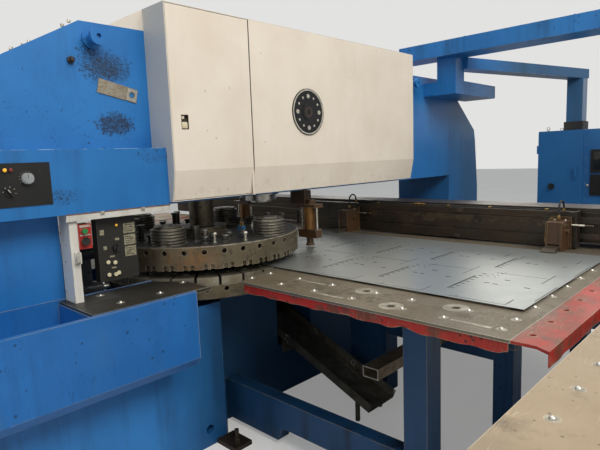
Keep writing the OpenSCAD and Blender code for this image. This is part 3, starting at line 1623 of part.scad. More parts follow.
frame();
anchor_feet();
lifting_lugs();
side_box();
side_panel();
panel_knob();
tray_box();
shelf_plate();
lamp_reflector();
guard_post();
button_box();
start_button();
stop_button();
operator_panel();
operator_knob();
hood_shell();
hood_panel();
hood_door();
door_latch();
emblem_disc();
drive_motor();
motor_pulley();
drive_belt();
flywheel();
ram();
ram_guide();
upper_turret();
spring_stations();
punch_heads();
lower_turret();
die_blocks();
index_housing();
index_pins();
hold_down_units();
hold_down_foot_right();
hold_down_foot_left();
centre_table();
table_trim();
ball_transfers();
table_frame();
support_tube();
scrap_chute();
slide_rails();
carriage_base();
side_tables();
side_table_balls();
cross_carriage();
workholders();
jaw_right();
jaw_left();
punched_sheet();
carriage_hoses();
overhead_duct();
duct_bracket();
cable_arm();
arm_collar();
cabinet();
cabinet_door();
cabinet_switch();
console_screen();
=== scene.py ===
import math

import bmesh
import bpy
from mathutils import Matrix, Vector


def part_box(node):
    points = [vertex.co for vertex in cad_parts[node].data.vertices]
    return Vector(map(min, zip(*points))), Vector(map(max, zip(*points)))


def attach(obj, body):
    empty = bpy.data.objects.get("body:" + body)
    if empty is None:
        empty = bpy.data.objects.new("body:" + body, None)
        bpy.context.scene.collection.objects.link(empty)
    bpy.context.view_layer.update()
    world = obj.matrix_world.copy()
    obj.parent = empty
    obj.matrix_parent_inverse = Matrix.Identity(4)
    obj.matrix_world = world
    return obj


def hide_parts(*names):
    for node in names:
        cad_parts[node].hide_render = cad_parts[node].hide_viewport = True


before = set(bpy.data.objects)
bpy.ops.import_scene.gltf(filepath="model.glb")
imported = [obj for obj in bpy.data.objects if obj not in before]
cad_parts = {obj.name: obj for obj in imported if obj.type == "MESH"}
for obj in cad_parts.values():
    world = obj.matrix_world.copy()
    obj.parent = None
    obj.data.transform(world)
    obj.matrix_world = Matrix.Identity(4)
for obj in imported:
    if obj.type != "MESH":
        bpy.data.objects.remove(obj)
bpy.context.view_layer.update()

scene = bpy.context.scene
scene.view_settings.view_transform = "Standard"

# Camera: it stands at eye height off the near right corner of the press and looks along the
# hood, with a wide lens. The press is measured from the floor under its punch.
EYE = Vector((2.656, -2.38, 1.55))
LOOKING = Vector((-0.6873715, 0.71448829, -0.13048718)).normalized()
UPWARD = Vector((-0.06396492, 0.11940957, 0.99078244))
sideways = LOOKING.cross(UPWARD).normalized()
camera = bpy.data.objects.new("camera", bpy.data.cameras.new("camera"))
camera.data.sensor_width = 36.0
camera.data.lens = 30.9
camera.matrix_world = (
    Matrix.Translation(EYE)
    @ Matrix((sideways, sideways.cross(LOOKING), -LOOKING)).transposed().to_4x4()
)
scene.collection.objects.link(camera)
scene.camera = camera


# Air hoses: black rubber hoses from connectors on top of the cross carriage to the two
# workholders. They are pushed into brass fittings at both ends.
def rgb(red, green, blue):
    """A colour given in display values from 0 to 255, as the shader takes it."""
    shares = (value / 255 for value in (red, green, blue))
    linear = [((v + 0.055) / 1.055) ** 2.4 if v > 0.04 else v / 12.92 for v in shares]
    return (*linear, 1.0)


def add(tree, kind, inputs=None, **settings):
    """One shader node. Each input is a value, or the socket that feeds it."""
    made = tree.nodes.new("ShaderNode" + kind)
    for key, value in settings.items():
        setattr(made, key, value)
    for key, value in (inputs or {}).items():
        if isinstance(value, bpy.types.NodeSocket):
            tree.links.new(value, made.inputs[key])
        else:
            made.inputs[key].default_value = value
    return made


def calc(tree, operation, *values):
    """The result of one sum on numbers or sockets."""
    return add(tree, "Math", dict(enumerate(values)), operation=operation).outputs[0]


def vector_calc(tree, operation, *values):
    """The result of one sum on vectors."""
    return add(tree, "VectorMath", dict(enumerate(values)), operation=operation).outputs[0]


def ramp(tree, value, low, high):
    """0 where value is at low, 1 at high, and between them in between."""
    limits = {"Value": value, "From Min": low, "From Max": high}
    return add(tree, "MapRange", limits, clamp=True).outputs[0]


def noise(tree, point, scale, detail, roughness=0.5, **inputs):
    """A smooth noise over the points."""
    given_inputs = {"Vector": point, "Scale": scale, "Detail": detail, "Roughness": roughness}
    return add(tree, "TexNoise", {**given_inputs, **inputs}).outputs


def mixed(tree, mask, under, over):
    """The colour or value under, covered by over where mask is 1."""
    if isinstance(over, float):
        return add(tree, "Mix", {0: mask, 2: under, 3: over}, data_type="FLOAT").outputs[0]
    return add(tree, "Mix", {0: mask, 6: under, 7: over}, data_type="RGBA").outputs[2]


def effect(name, inputs, output="Mask"):
    """A node group for one effect, with named inputs, that puts out one mask or height."""
    group = bpy.data.node_groups.new(name, "ShaderNodeTree")
    for label, default in inputs.items():
        kind = "NodeSocketVector" if isinstance(default, tuple) else "NodeSocketFloat"
        socket = group.interface.new_socket(name=label, in_out="INPUT", socket_type=kind)
        socket.default_value = default
    group.interface.new_socket(name=output, in_out="OUTPUT", socket_type="NodeSocketFloat")
    given = group.nodes.new("NodeGroupInput").outputs
    return group, given, group.nodes.new("NodeGroupOutput").inputs


def place(tree):
    """The point on the piece, in metres in the machine's frame at rest."""
    return add(tree, "TexCoord").outputs["Object"]


class Finish:
    """A material laid up in coats. Each coat covers the ones under it where its mask is 1."""

    def __init__(self, name, colour, roughness, metallic=0.0, coat=0.0):
        self.material = bpy.data.materials.new(name)
        self.material.use_nodes = True
        self.tree = self.material.node_tree
        self.shader = self.tree.nodes["Principled BSDF"]
        self.colour, self.roughness, self.metallic = colour, roughness, metallic
        self.height = None
        self.set(
            coat_weight=coat, metallic=metallic, specular_ior_level=0.5 if metallic > 0.3 else 0.3
        )

    def set(self, **inputs):
        """Gives the shader's inputs their values, or the sockets that feed them."""
        for key, value in inputs.items():
            label = key.replace("_", " ").title().replace("Ior", "IOR")
            if isinstance(value, bpy.types.NodeSocket):
                self.tree.links.new(value, self.shader.inputs[label])
            else:
                self.shader.inputs[label].default_value = value

    def mask(self, effect_name, **inputs):
        """Where an effect shows, from 0 to 1."""
        made = self.tree.nodes.new("ShaderNodeGroup")
        made.node_tree = bpy.data.node_groups[effect_name]
        for key, value in inputs.items():
            made.inputs[key.replace("_", " ").title()].default_value = value
        return made.outputs[0]

    def along(self, axis, low, high):
        """0 where the point on the axis is at low, 1 at high."""
        point = add(self.tree, "SeparateXYZ", {0: place(self.tree)}).outputs[axis]
        return ramp(self.tree, point, low, high)

    def facing(self, axis, low, high):
        """0 where the face's normal on the axis is at low, 1 at high."""
        normal = add(self.tree, "NewGeometry").outputs["True Normal"]
        return ramp(self.tree, add(self.tree, "SeparateXYZ", {0: normal}).outputs[axis], low, high)

    def both(self, first, second):
        """Where two masks show together."""
        return calc(self.tree, "MULTIPLY", first, second)

    def coat(self, mask, colour, roughness=None, metallic=None, share=1.0):
        """Covers what is under it where the mask shows, as far as the share says."""
        if share < 1:
            mask = calc(self.tree, "MULTIPLY", mask, share)
        self.colour = mixed(self.tree, mask, self.colour, colour)
        if roughness is not None:
            self.roughness = mixed(self.tree, mask, self.roughness, roughness)
        if metallic is not None:
            self.metallic = mixed(self.tree, mask, self.metallic, metallic)

    def over(self, effect_name, colour, roughness=None, share=1.0, **inputs):
        """A coat where a named effect shows."""
        self.coat(self.mask(effect_name, **inputs), colour, roughness, share=share)

    def relief(self, effect_name, share, **inputs):
        """Adds an effect to the surface's height, as a share of a millimetre."""
        height = calc(self.tree, "MULTIPLY", self.mask(effect_name, **inputs), share)
        self.height = height if self.height is None else calc(self.tree, "ADD", self.height, height)

    def done(self, *nodes):
        """Joins the coats to the shader, and gives the material to these nodes of the frame."""
        self.set(base_color=self.colour, roughness=self.roughness, metallic=self.metallic)
        if self.height is not None:
            depth = {"Height": self.height, "Strength": 1.0, "Distance": 0.001}
            self.set(normal=add(self.tree, "Bump", depth).outputs[0])
        for name in nodes:
            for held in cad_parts[name].material_slots:
                held.material = self.material
        return self.material


# Cloudy patches, large and small, for colour that isn't quite even.
EVEN = (1.0, 1.0, 1.0)
group, given, out = effect(
    "cloudy patches", {"Scale": 3.0, "Low": 0.35, "High": 0.65, "Stretch": EVEN}
)
point = vector_calc(group, "MULTIPLY", place(group), given["Stretch"])
cloud = noise(group, point, given["Scale"], 5.0, 0.6)["Fac"]
group.links.new(ramp(group, cloud, given["Low"], given["High"]), out[0])

# Fine grain, for the skin of paint, rubber and rolled steel.
group, given, out = effect("fine grain", {"Scale": 400.0, "Stretch": EVEN}, "Height")
point = vector_calc(group, "MULTIPLY", place(group), given["Stretch"])
group.links.new(noise(group, point, given["Scale"], 3.0, 0.55)["Fac"], out[0])

rubber = Finish("black rubber", rgb(30, 30, 31), 0.62)
rubber.over("cloudy patches", rgb(58, 56, 53), 0.78, scale=9.0, low=0.4, high=0.7)
rubber.relief("fine grain", 0.12, scale=900.0)
rubber_black = rubber.done("carriage_hoses", "drive_belt", "arm_collar")


def piece(name, work, finish, body):
    """Ends the work on a mesh and puts it on one of the press's bodies."""
    bmesh.ops.recalc_face_normals(work, faces=work.faces)
    mesh = bpy.data.meshes.new(name.replace("_", " "))
    work.to_mesh(mesh)
    work.free()
    mesh.shade_smooth()
    mesh.set_sharp_from_angle(angle=math.radians(35))
    made = bpy.data.objects.new(name, mesh)
    scene.collection.objects.link(made)
    made.data.materials.append(finish)
    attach(made, body)
    return made


def skin(work, rings):
    """Joins rings of points, one after the other, and closes both ends."""
    for low, high in zip(rings, rings[1:]):
        for i in range(len(low)):
            j = (i + 1) % len(low)
            work.faces.new((low[i], low[j], high[j], high[i]))
    work.faces.new(rings[0][::-1])
    work.faces.new(rings[-1])


def round_steps(steps):
    """The angles of that many steps round a circle."""
    return [2 * math.pi * i / steps for i in range(steps)]


AXIS_TURNS = {
    "x": Matrix.Rotation(math.radians(90), 3, "Y"),
    "y": Matrix.Rotation(math.radians(-90), 3, "X"),
    "z": Matrix.Identity(3),
}


def lathe(work, profile, base, axis, steps):
    """Turned part on an axis through base. profile is (distance along it, radius)."""
    origin, turn = Vector(base), AXIS_TURNS[axis]
    rings = []
    for along, radius in profile:
        spread = round_steps(steps) if radius else [0.0]
        around = [Vector((radius * math.cos(a), radius * math.sin(a), along)) for a in spread]
        rings.append([work.verts.new(origin + turn @ point) for point in around])
    for low, high in zip(rings, rings[1:]):
        for i in range(steps):
            j = (i + 1) % steps
            below = [low[i % len(low)], low[j % len(low)]]
            above = [high[j % len(high)], high[i % len(high)]]
            unique = list(dict.fromkeys(below + above))
            if len(unique) > 2:
                work.faces.new(unique)


def swept(work, points, radius, steps):
    """Round bar or pipe along the points."""
    points = [Vector(p) for p in points]
    rings, across = [], None
    for i, point in enumerate(points):
        ahead = points[min(i + 1, len(points) - 1)] - points[max(i - 1, 0)]
        ahead.normalize()
        across = ahead.orthogonal() if across is None else across - ahead * across.dot(ahead)
        across.normalize()
        up = ahead.cross(across)
        rings.append([
            work.verts.new(point + (across * math.cos(a) + up * math.sin(a)) * radius)
            for a in round_steps(steps)
        ])
    skin(work, rings)


brass = Finish("brass fittings", rgb(158, 128, 72), 0.36, metallic=0.85)
brass.over("cloudy patches", rgb(104, 84, 50), 0.5, scale=50.0, low=0.35, high=0.65)
brass.relief("fine grain", 0.06, scale=900.0)
fitting_brass = brass.done()

HOSE = 0.011
PORT_Y, COLLAR_Y = 0.88, 0.97
PORT_TOP, BOW_START, COLLAR_TOP = 1.134, 1.19, 1.166
HOSE_END = 1.178
BOW = (COLLAR_Y - PORT_Y) / 2
SOCKET = (
    (0.0, 0.0), (0.0, 0.0105), (0.006, 0.0105), (0.007, 0.009), (0.013, 0.009), (0.014, 0.0075),
    (0.018, 0.0065),
)
HOLDERS = (("right", 1.66), ("left", 0.08))
for side, x in HOLDERS:
    route = [(x, PORT_Y, PORT_TOP + (BOW_START - PORT_TOP) * k / 4) for k in range(4)]
    for k in range(21):
        a = math.pi * k / 20
        route.append((x, PORT_Y + BOW - BOW * math.cos(a), BOW_START + BOW * math.sin(a)))
    route.append((x, COLLAR_Y, HOSE_END))
    work = bmesh.new()
    swept(work, route, HOSE / 2, 12)
    hose = piece(f"hose_{side}", work, rubber_black, "cross_carriage")
    if side == "right":
        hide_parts("carriage_hoses")
    work = bmesh.new()
    lathe(work, SOCKET, (x, PORT_Y, PORT_TOP), "z", 16)
    lathe(work, SOCKET, (x, COLLAR_Y, COLLAR_TOP), "z", 6)
    fittings = piece(
        f"hose_fittings_{side}", work, fitting_brass, "cross_carriage"
    )

# Floor and light: a plain pale floor and plain soft light from above and from the camera's
# right, as from a row of roof windows. None of it is part of the press.
FLOOR_REACH = 40
SHADOW_GAP = 0.0005
BACKDROP = rgb(226, 226, 225)
floor_mesh = bpy.data.meshes.new("floor")
floor_corners = [
    (x * FLOOR_REACH, y * FLOOR_REACH, 0) for x, y in ((-1, -1), (1, -1), (1, 1), (-1, 1))
]
floor_mesh.from_pydata(floor_corners, [], [(0, 1, 2, 3)])
floor = bpy.data.objects.new("floor", floor_mesh)
floor.location.z = -SHADOW_GAP
scene.collection.objects.link(floor)
pale_floor = Finish("pale floor", rgb(214, 212, 208), 0.9)
pale_floor.over("cloudy patches", rgb(208, 206, 202), scale=0.8)
seen = add(pale_floor.tree, "LightPath").outputs["Is Camera Ray"]
pale_floor.set(
    emission_strength=calc(pale_floor.tree, "MULTIPLY", seen, 0.3), emission_color=BACKDROP
)
floor.data.materials.append(pale_floor.done())

world = bpy.data.worlds.new("studio")
scene.world = world
world.use_nodes = True
room = world.node_tree
seen = add(room, "LightPath").outputs
shown = calc(room, "MAXIMUM", seen["Is Camera Ray"], seen["Is Glossy Ray"])
shown = calc(room, "MAXIMUM", shown, seen["Is Transmission Ray"])
fill = add(room, "Background", {"Color": (0.86, 0.93, 1.0, 1.0), "Strength": 0.26})
backdrop = add(room, "Background", {"Color": BACKDROP, "Strength": 1.0})
either = add(room, "MixShader", {0: shown, 1: fill.outputs[0], 2: backdrop.outputs[0]})
room.links.new(either.outputs[0], room.nodes["World Output"].inputs["Surface"])


def soft_lamp(name, where, towards, size, power, colour):
    """A large soft lamp that the camera doesn't see."""
    lamp = bpy.data.objects.new(name, bpy.data.lights.new(name, "AREA"))
    lamp.data.shape = "RECTANGLE"
    lamp.data.size, lamp.data.size_y = size
    lamp.data.energy = power
    lamp.data.color = colour
    lamp.location = where
    lamp.rotation_euler = (Vector(towards) - Vector(where)).to_track_quat("-Z", "Y").to_euler()
    lamp.visible_camera = False
    scene.collection.objects.link(lamp)


soft_lamp("right windows", (6.2, -1.6, 6.2), (0.3, -0.2, 1.2), (6.0, 3.0), 500, (1.0, 0.965, 0.91))
soft_lamp("roof windows", (0.5, 1.5, 7.0), (0.8, 0.5, 0.9), (6.0, 6.0), 240, (1.0, 0.99, 0.97))
soft_lamp("near fill", (1.5, -7.0, 3.0), (0.3, 0.0, 1.0), (4.0, 3.0), 60, (0.9, 0.95, 1.0))
soft_lamp("far windows", (-1.6, 8.6, 3.4), (1.3, 0.0, 0.95), (9.0, 3.0), 150, (1.0, 0.94, 0.84))

# Frame weldment: thick flame-cut steel plates welded to a C shape, in gloss blue machine
# paint. Slings have rubbed the paint, oil mist has settled on it, and grease has been flicked
# on its near side, where a loose steel strip clings. The far column is painted darker as
# painted shade, and the frame under the table partly for grease and partly as painted shade.

# Worn edges: corners, found as places where a rounded normal leaves the flat one, in broken
# lengths.
group, given, out = effect("worn edges", {"Width": 0.004, "Amount": 0.5, "Break Up": 30.0})
rounded = add(group, "Bevel", {"Radius": given["Width"]}, samples=4).outputs[0]
flat = add(group, "NewGeometry").outputs["Normal"]
along = add(group, "VectorMath", {0: rounded, 1: flat}, operation="DOT_PRODUCT").outputs["Value"]
broken = noise(group, place(group), given["Break Up"], 4.0)["Fac"]
level = calc(group, "SUBTRACT", 1.0, given["Amount"])
low, high = calc(group, "SUBTRACT", level, 0.05), calc(group, "ADD", level, 0.05)
corner = ramp(group, along, 0.995, 0.88)
group.links.new(calc(group, "MULTIPLY", corner, ramp(group, broken, low, high)), out[0])

# Dirt runs: streaks drawn out downwards, in some patches only.
group, given, out = effect("dirt runs", {"Scale": 9.0, "Amount": 0.4})
streaks = vector_calc(group, "MULTIPLY", place(group), (1.0, 1.0, 0.09))
run = noise(group, streaks, given["Scale"], 5.0, 0.65)["Fac"]
patch = noise(group, place(group), 2.1, 3.0)["Fac"]
level = calc(group, "SUBTRACT", 0.75, calc(group, "MULTIPLY", given["Amount"], 0.35))
run = ramp(group, run, calc(group, "SUBTRACT", level, 0.08), calc(group, "ADD", level, 0.12))
group.links.new(calc(group, "MULTIPLY", run, ramp(group, patch, 0.38, 0.6)), out[0])

# Oil specks: round drops of uneven size. Crowd is the share of the places that hold one.
group, given, out = effect("oil specks", {"Scale": 40.0, "Size": 0.3, "Crowd": 0.3})
cell = add(group, "TexVoronoi", {"Vector": place(group), "Scale": given["Scale"]}).outputs
odds = add(group, "SeparateColor", {0: cell["Color"]}).outputs
reach = calc(group, "MULTIPLY", given["Size"], odds[1])
spot = ramp(group, cell["Distance"], reach, calc(group, "MULTIPLY", reach, 0.6))
chosen = calc(group, "LESS_THAN", odds[0], given["Crowd"])
group.links.new(calc(group, "MULTIPLY", spot, chosen), out[0])

# Smudge: flicked drops, large and small, that crowd round one place and thin out from it.
group, given, out = effect(
    "smudge",
    {"Centre": (0.0, 0.0, 0.0), "Reach": (0.1, 0.1, 0.1), "Scale": 60.0, "Density": 0.5},
)
offset = vector_calc(group, "SUBTRACT", place(group), given["Centre"])
offset = vector_calc(group, "DIVIDE", offset, given["Reach"])
far = add(group, "VectorMath", {0: offset}, operation="LENGTH").outputs["Value"]
edge = noise(group, place(group), calc(group, "MULTIPLY", given["Scale"], 0.35), 3.0)["Fac"]
ragged = calc(group, "MULTIPLY", calc(group, "SUBTRACT", edge, 0.5), 1.1)
far = calc(group, "ADD", far, ragged)
crowd = calc(group, "MULTIPLY", ramp(group, far, 1.1, 0.1), given["Density"])
wander = noise(group, place(group), given["Scale"], 3.0)["Color"]
wander = vector_calc(group, "MULTIPLY", wander, (0.03, 0.03, 0.03))
wander = vector_calc(group, "ADD", place(group), wander)
sizes_of_drops = []
for finer, crowding in ((1.0, 1.0), (2.6, 1.3)):
    scale = calc(group, "MULTIPLY", given["Scale"], finer)
    cell = add(group, "TexVoronoi", {"Vector": wander, "Scale": scale}).outputs
    odds = add(group, "SeparateColor", {0: cell["Color"]}).outputs
    chosen = calc(group, "LESS_THAN", odds[0], calc(group, "MULTIPLY", crowd, crowding))
    drop = ramp(group, cell["Distance"], 0.62, 0.42)
    sizes_of_drops.append(calc(group, "MULTIPLY", drop, chosen))
group.links.new(calc(group, "MAXIMUM", *sizes_of_drops), out[0])

# Scratches: thin lines where a stretched noise crosses its middle, in some patches only.
group, given, out = effect(
    "scratches", {"Scale": 6.0, "Width": 0.012, "Stretch": (1.0, 12.0, 12.0)}
)
lines = vector_calc(group, "MULTIPLY", place(group), given["Stretch"])
line = noise(group, lines, given["Scale"], 2.0, Distortion=0.4)["Fac"]
near = calc(group, "ABSOLUTE", calc(group, "SUBTRACT", line, 0.5))
patch = noise(group, place(group), 5.0, 2.0)["Fac"]
line = ramp(group, near, given["Width"], 0.0)
group.links.new(calc(group, "MULTIPLY", line, ramp(group, patch, 0.45, 0.62)), out[0])


def machine_paint(name, fresh, faded, dirt, roughness, dirt_share, speck_crowd):
    """Gloss machine paint: faded in patches, with dirt run down it and specks of oil."""
    paint = Finish(name, fresh, roughness, coat=0.15)
    paint.set(coat_roughness=0.2)
    paint.over("cloudy patches", faded, roughness + 0.06, scale=2.2, low=0.35, high=0.68)
    paint.over("dirt runs", dirt, 0.6, share=dirt_share, scale=8.0, amount=0.5)
    paint.over("oil specks", dirt, 0.5, share=0.85, scale=38.0, size=0.32, crowd=speck_crowd)
    paint.relief("fine grain", 0.16, scale=160.0)
    return paint


BARE_EDGE = rgb(150, 158, 163)
GREASE = rgb(24, 24, 26)
blue = machine_paint(
    "blue machine paint", rgb(31, 103, 168), rgb(42, 118, 184), rgb(20, 50, 80), 0.38, 0.5, 0.2
)
blue.over("scratches", rgb(22, 60, 98), share=0.7, scale=7.0, width=0.006)
# Towards the far column, from y 1.95 to 2.5, the paint is painted greyer and darker: painted shade.
blue.coat(blue.along("Y", 1.95, 2.5), rgb(46, 74, 96), 0.5, share=0.75)
# Under the table top the paint is painted darker, partly for grease and partly as painted shade.
shade_and_grease_under_table = blue.both(blue.along("Z", 0.93, 0.72), blue.along("Y", -1.2, -0.6))
blue.coat(shade_and_grease_under_table, rgb(20, 44, 64), 0.5, share=0.8)
for colour, share, roughness, centre, reach, scale, density in (
    (rgb(52, 48, 44), 0.6, 0.7, (0.28, -1.2, 2.0), (0.05, 0.085, 0.045), 150.0, 2.2),
    (GREASE, 0.9, 0.7, (0.28, -1.19, 2.0), (0.05, 0.13, 0.08), 150.0, 1.2),
    (GREASE, 0.8, 0.6, (0.28, -1.27, 2.075), (0.05, 0.06, 0.05), 90.0, 0.6),
    (GREASE, 1.0, 0.7, (0.28, -1.165, 1.74), (0.05, 0.1, 0.055), 160.0, 1.7),
    (GREASE, 0.8, 0.7, (0.28, -1.4, 1.7), (0.05, 0.4, 0.3), 110.0, 0.025),
):
    where = {"centre": centre, "reach": reach, "scale": scale, "density": density}
    blue.over("smudge", colour, roughness, share, **where)
blue.over("worn edges", BARE_EDGE, 0.5, width=0.004, amount=0.42, break_up=14.0)
frame_blue = blue.done("frame", "lifting_lugs", "duct_bracket", "overhead_duct", "cable_arm")


def pierced(work, outline, holes, low, high, to_point):
    """Plate cut to an outline, with holes right through it, from low to high."""
    faces = []
    for w in (low, high):
        rings = [[work.verts.new(to_point(u, v, w)) for u, v in loop] for loop in [outline] + holes]
        edges = [work.edges.new((ring[i - 1], ring[i])) for ring in rings for i in range(len(ring))]
        bmesh.ops.triangle_fill(work, use_beauty=True, edges=edges)
        faces.append(rings)
    for low_ring, high_ring in zip(*faces):
        for i in range(len(low_ring)):
            work.faces.new((low_ring[i - 1], low_ring[i], high_ring[i], high_ring[i - 1]))


def circle(u, v, radius, steps=16):
    """Outline of a round hole."""
    return [(u + radius * math.cos(a), v + radius * math.sin(a)) for a in round_steps(steps)]


def oblong(u0, v0, u1, v1):
    """Outline with four square corners."""
    return [(u0, v0), (u1, v0), (u1, v1), (u0, v1)]


def on_side(y, z, x):
    """A point of an outline that is drawn on the machine's near side."""
    return Vector((x, y, z))


SIDE = 0.280
STRIP_CENTRE = Vector((-1.140, 1.896))
STRIP_TILT = Matrix.Rotation(math.radians(-12.5), 2)
STRIP_LENGTH, STRIP_WIDTH = 0.2, 0.066
STRIP_TOP, WASHER_TOP = SIDE + 0.005, SIDE + 0.0065
STRIP_HOLE, STRIP_BORE, WASHER_BORE = (0.072, 0.0), 0.0125, 0.017
WASHER_PLATE = (0.047, -0.03, 0.098, 0.029)
NOTCH_FROM, NOTCH_TO, NOTCH_DEPTH = 0.045, 0.06, 0.004


def on_strip(u, v, x):
    """A point of the strip, from its own centre line to where it clings."""
    return on_side(*(STRIP_CENTRE + STRIP_TILT @ Vector((u, v))), x)


ground = Finish("ground steel strip", rgb(150, 143, 128), 0.36, metallic=0.8)
ground.over("cloudy patches", rgb(122, 108, 84), 0.48, scale=14.0, low=0.3, high=0.7)
ground.over("scratches", rgb(186, 182, 170), 0.3, scale=30.0, width=0.03, stretch=(1.0, 1.0, 10.0))
work = bmesh.new()
end, edge = STRIP_LENGTH / 2, STRIP_WIDTH / 2
outline = [
    (-end, -edge), (-end, edge), (end, edge), (end, -edge), (NOTCH_TO, -edge),
    (NOTCH_TO, NOTCH_DEPTH - edge), (NOTCH_FROM, NOTCH_DEPTH - edge), (NOTCH_FROM, -edge),
]
pierced(work, outline, [circle(*STRIP_HOLE, STRIP_BORE)], SIDE + 0.0005, STRIP_TOP, on_strip)
piece("steel_strip", work, ground.done(), "frame")
washer = Finish("worn washer plate", rgb(186, 184, 176), 0.34, metallic=0.8)
washer.over("cloudy patches", rgb(150, 142, 124), 0.45, scale=60.0, low=0.4, high=0.7)
work = bmesh.new()
outline, bore = oblong(*WASHER_PLATE), circle(*STRIP_HOLE, WASHER_BORE)
pierced(work, outline, [bore], STRIP_TOP, WASHER_TOP, on_strip)
piece("strip_washer", work, washer.done(), "frame")

# Screws in the frame's near slope: zinc-plated steel. Below the near boss sits one rusty bolt
# with a hexagon head and the end of its thread.
zinc = Finish("zinc plated screws", rgb(196, 192, 180), 0.34, metallic=0.85)
zinc.over("cloudy patches", rgb(140, 128, 104), 0.55, scale=60.0, low=0.4, high=0.7)
screw_zinc = zinc.done()
SLOPE_SCREW = ((-0.004, 0.008), (0.007, 0.008), (0.009, 0.006), (0.009, 0.0))
work = bmesh.new()
for y, z in ((-1.585, 2.044), (-1.363, 2.171), (-1.332, 2.194)):
    for x in (0.25, -0.25):
        lathe(work, SLOPE_SCREW, (x, y, z), "z", 10)
piece("frame_screws", work, screw_zinc, "frame")
rusty = Finish("rusty bolt", rgb(74, 62, 54), 0.6, metallic=0.4)
rusty.over("cloudy patches", rgb(40, 32, 28), 0.7, scale=90.0, low=0.4, high=0.6)
rusty_bolt = rusty.done()
BOLT = (
    (0.0, 0.017), (0.012, 0.017), (0.0135, 0.015), (0.0135, 0.010), (0.032, 0.010),
    (0.034, 0.008), (0.034, 0.0),
)
work = bmesh.new()
lathe(work, BOLT, (SIDE, -1.354, 2.018), "x", 6)
piece("frame_bolt", work, rusty_bolt, "frame")

# Side box and tray: folded sheet steel in the same blue, welded to the frame's side. Hands,
# sheets and tools have rubbed the tray's face and its rim.
tray = machine_paint(
    "blue tray paint", rgb(22, 90, 156), rgb(30, 102, 170), rgb(18, 56, 94), 0.46, 0.5, 0.1
)
tray.over(
    "cloudy patches", rgb(52, 100, 142), 0.5, share=0.5,
    scale=5.0, low=0.5, high=0.75, stretch=(1.0, 1.0, 0.4),
)
tray.over("scratches", rgb(22, 62, 102), share=0.6, scale=5.0, width=0.01, stretch=(6.0, 6.0, 1.0))
tray.over("worn edges", rgb(128, 132, 128), 0.5, width=0.006, amount=0.62, break_up=10.0)
tray.done("tray_box")

box = machine_paint(
    "blue box paint", rgb(29, 101, 164), rgb(36, 110, 174), rgb(22, 54, 86), 0.4, 0.3, 0.1
)
beside_plate = {"centre": (0.413, -1.50, 1.42), "reach": (0.02, 0.09, 0.04)}
box.over("smudge", GREASE, 0.6, **beside_plate, scale=150.0, density=0.3)
under_seam = {"centre": (0.413, -1.05, 1.585), "reach": (0.02, 0.12, 0.04)}
box.over("smudge", GREASE, 0.6, **under_seam, scale=130.0, density=0.22)
top_edges = box.mask("worn edges", width=0.004, amount=0.55, break_up=18.0)
box.coat(box.both(top_edges, box.along("Z", 1.605, 1.61)), rgb(176, 196, 212), 0.5)
box.done("side_box")

# Cabinet: sheet steel cabinet of the controls, in the frame's blue paint but painted darker as
# painted shade, with its hinged door. Only its edges are rubbed.
cabinet = machine_paint(
    "blue cabinet paint with painted shade", rgb(27, 84, 136), rgb(36, 96, 148), rgb(18, 46, 74), 0.42, 0.2, 0.06
)
cabinet.over("worn edges", rgb(120, 150, 176), 0.5, width=0.004, amount=0.4, break_up=22.0)
shaded_cabinet_blue = cabinet.done("cabinet", "cabinet_door")

# Stands and beams under the tables: welded box sections in the same blue, painted darker,
# partly for dust and oil from the scrap that falls on them and partly as painted shade
# under the tables.
stand = machine_paint(
    "dark blue stand paint, dirt and painted shade", rgb(18, 54, 88), rgb(24, 64, 100), rgb(12, 22, 32), 0.5, 0.9, 0.3
)
stand.over("worn edges", rgb(120, 112, 96), 0.55, width=0.006, amount=0.6, break_up=12.0)
stand.done("table_frame")

# Hood: folded sheet in cream paint, over the drive. The shell's faces that turn to the near
# end are painted grey as painted shade, and oil mist and fingers have marked it along its
# lower edge.
cream = machine_paint(
    "cream hood paint", rgb(221, 211, 197), rgb(211, 199, 183), rgb(176, 164, 146), 0.42, 0.12, 0.02
)
lower_edge = {"centre": (0.46, 0.1, 1.37), "reach": (0.05, 1.4, 0.07)}
cream.over("smudge", rgb(200, 187, 170), 0.5, share=0.4, **lower_edge, scale=26.0, density=0.4)
cream.over("worn edges", rgb(120, 104, 84), 0.5, share=0.6, width=0.003, amount=0.42, break_up=12.0)
hood_cream = cream.done("hood_panel", "hood_door")
shaded_shell = machine_paint(
    "hood paint with painted shade", rgb(206, 198, 186), rgb(196, 188, 176), rgb(128, 122, 112),
    0.42, 0.25, 0.08,
)
# Faces turned towards the near end are painted grey: painted shade.
shaded_shell.coat(shaded_shell.facing("Y", -0.6, -0.9), rgb(182, 182, 180), 0.4)
shaded_shell.over("worn edges", rgb(214, 210, 202), 0.5, share=0.8, width=0.004, amount=0.5, break_up=9.0)
shaded_shell.done("hood_shell")

# White painted sheet: the lamp's reflector and the guard post, greyed by handling and worn to
# the metal at their edges.
white = machine_paint(
    "white paint", rgb(226, 224, 216), rgb(206, 202, 192), rgb(120, 112, 100), 0.45, 0.4, 0.2
)
white.over("worn edges", rgb(110, 96, 80), 0.5, share=0.8, width=0.004, amount=0.5, break_up=30.0)
white.done("lamp_reflector", "guard_post")

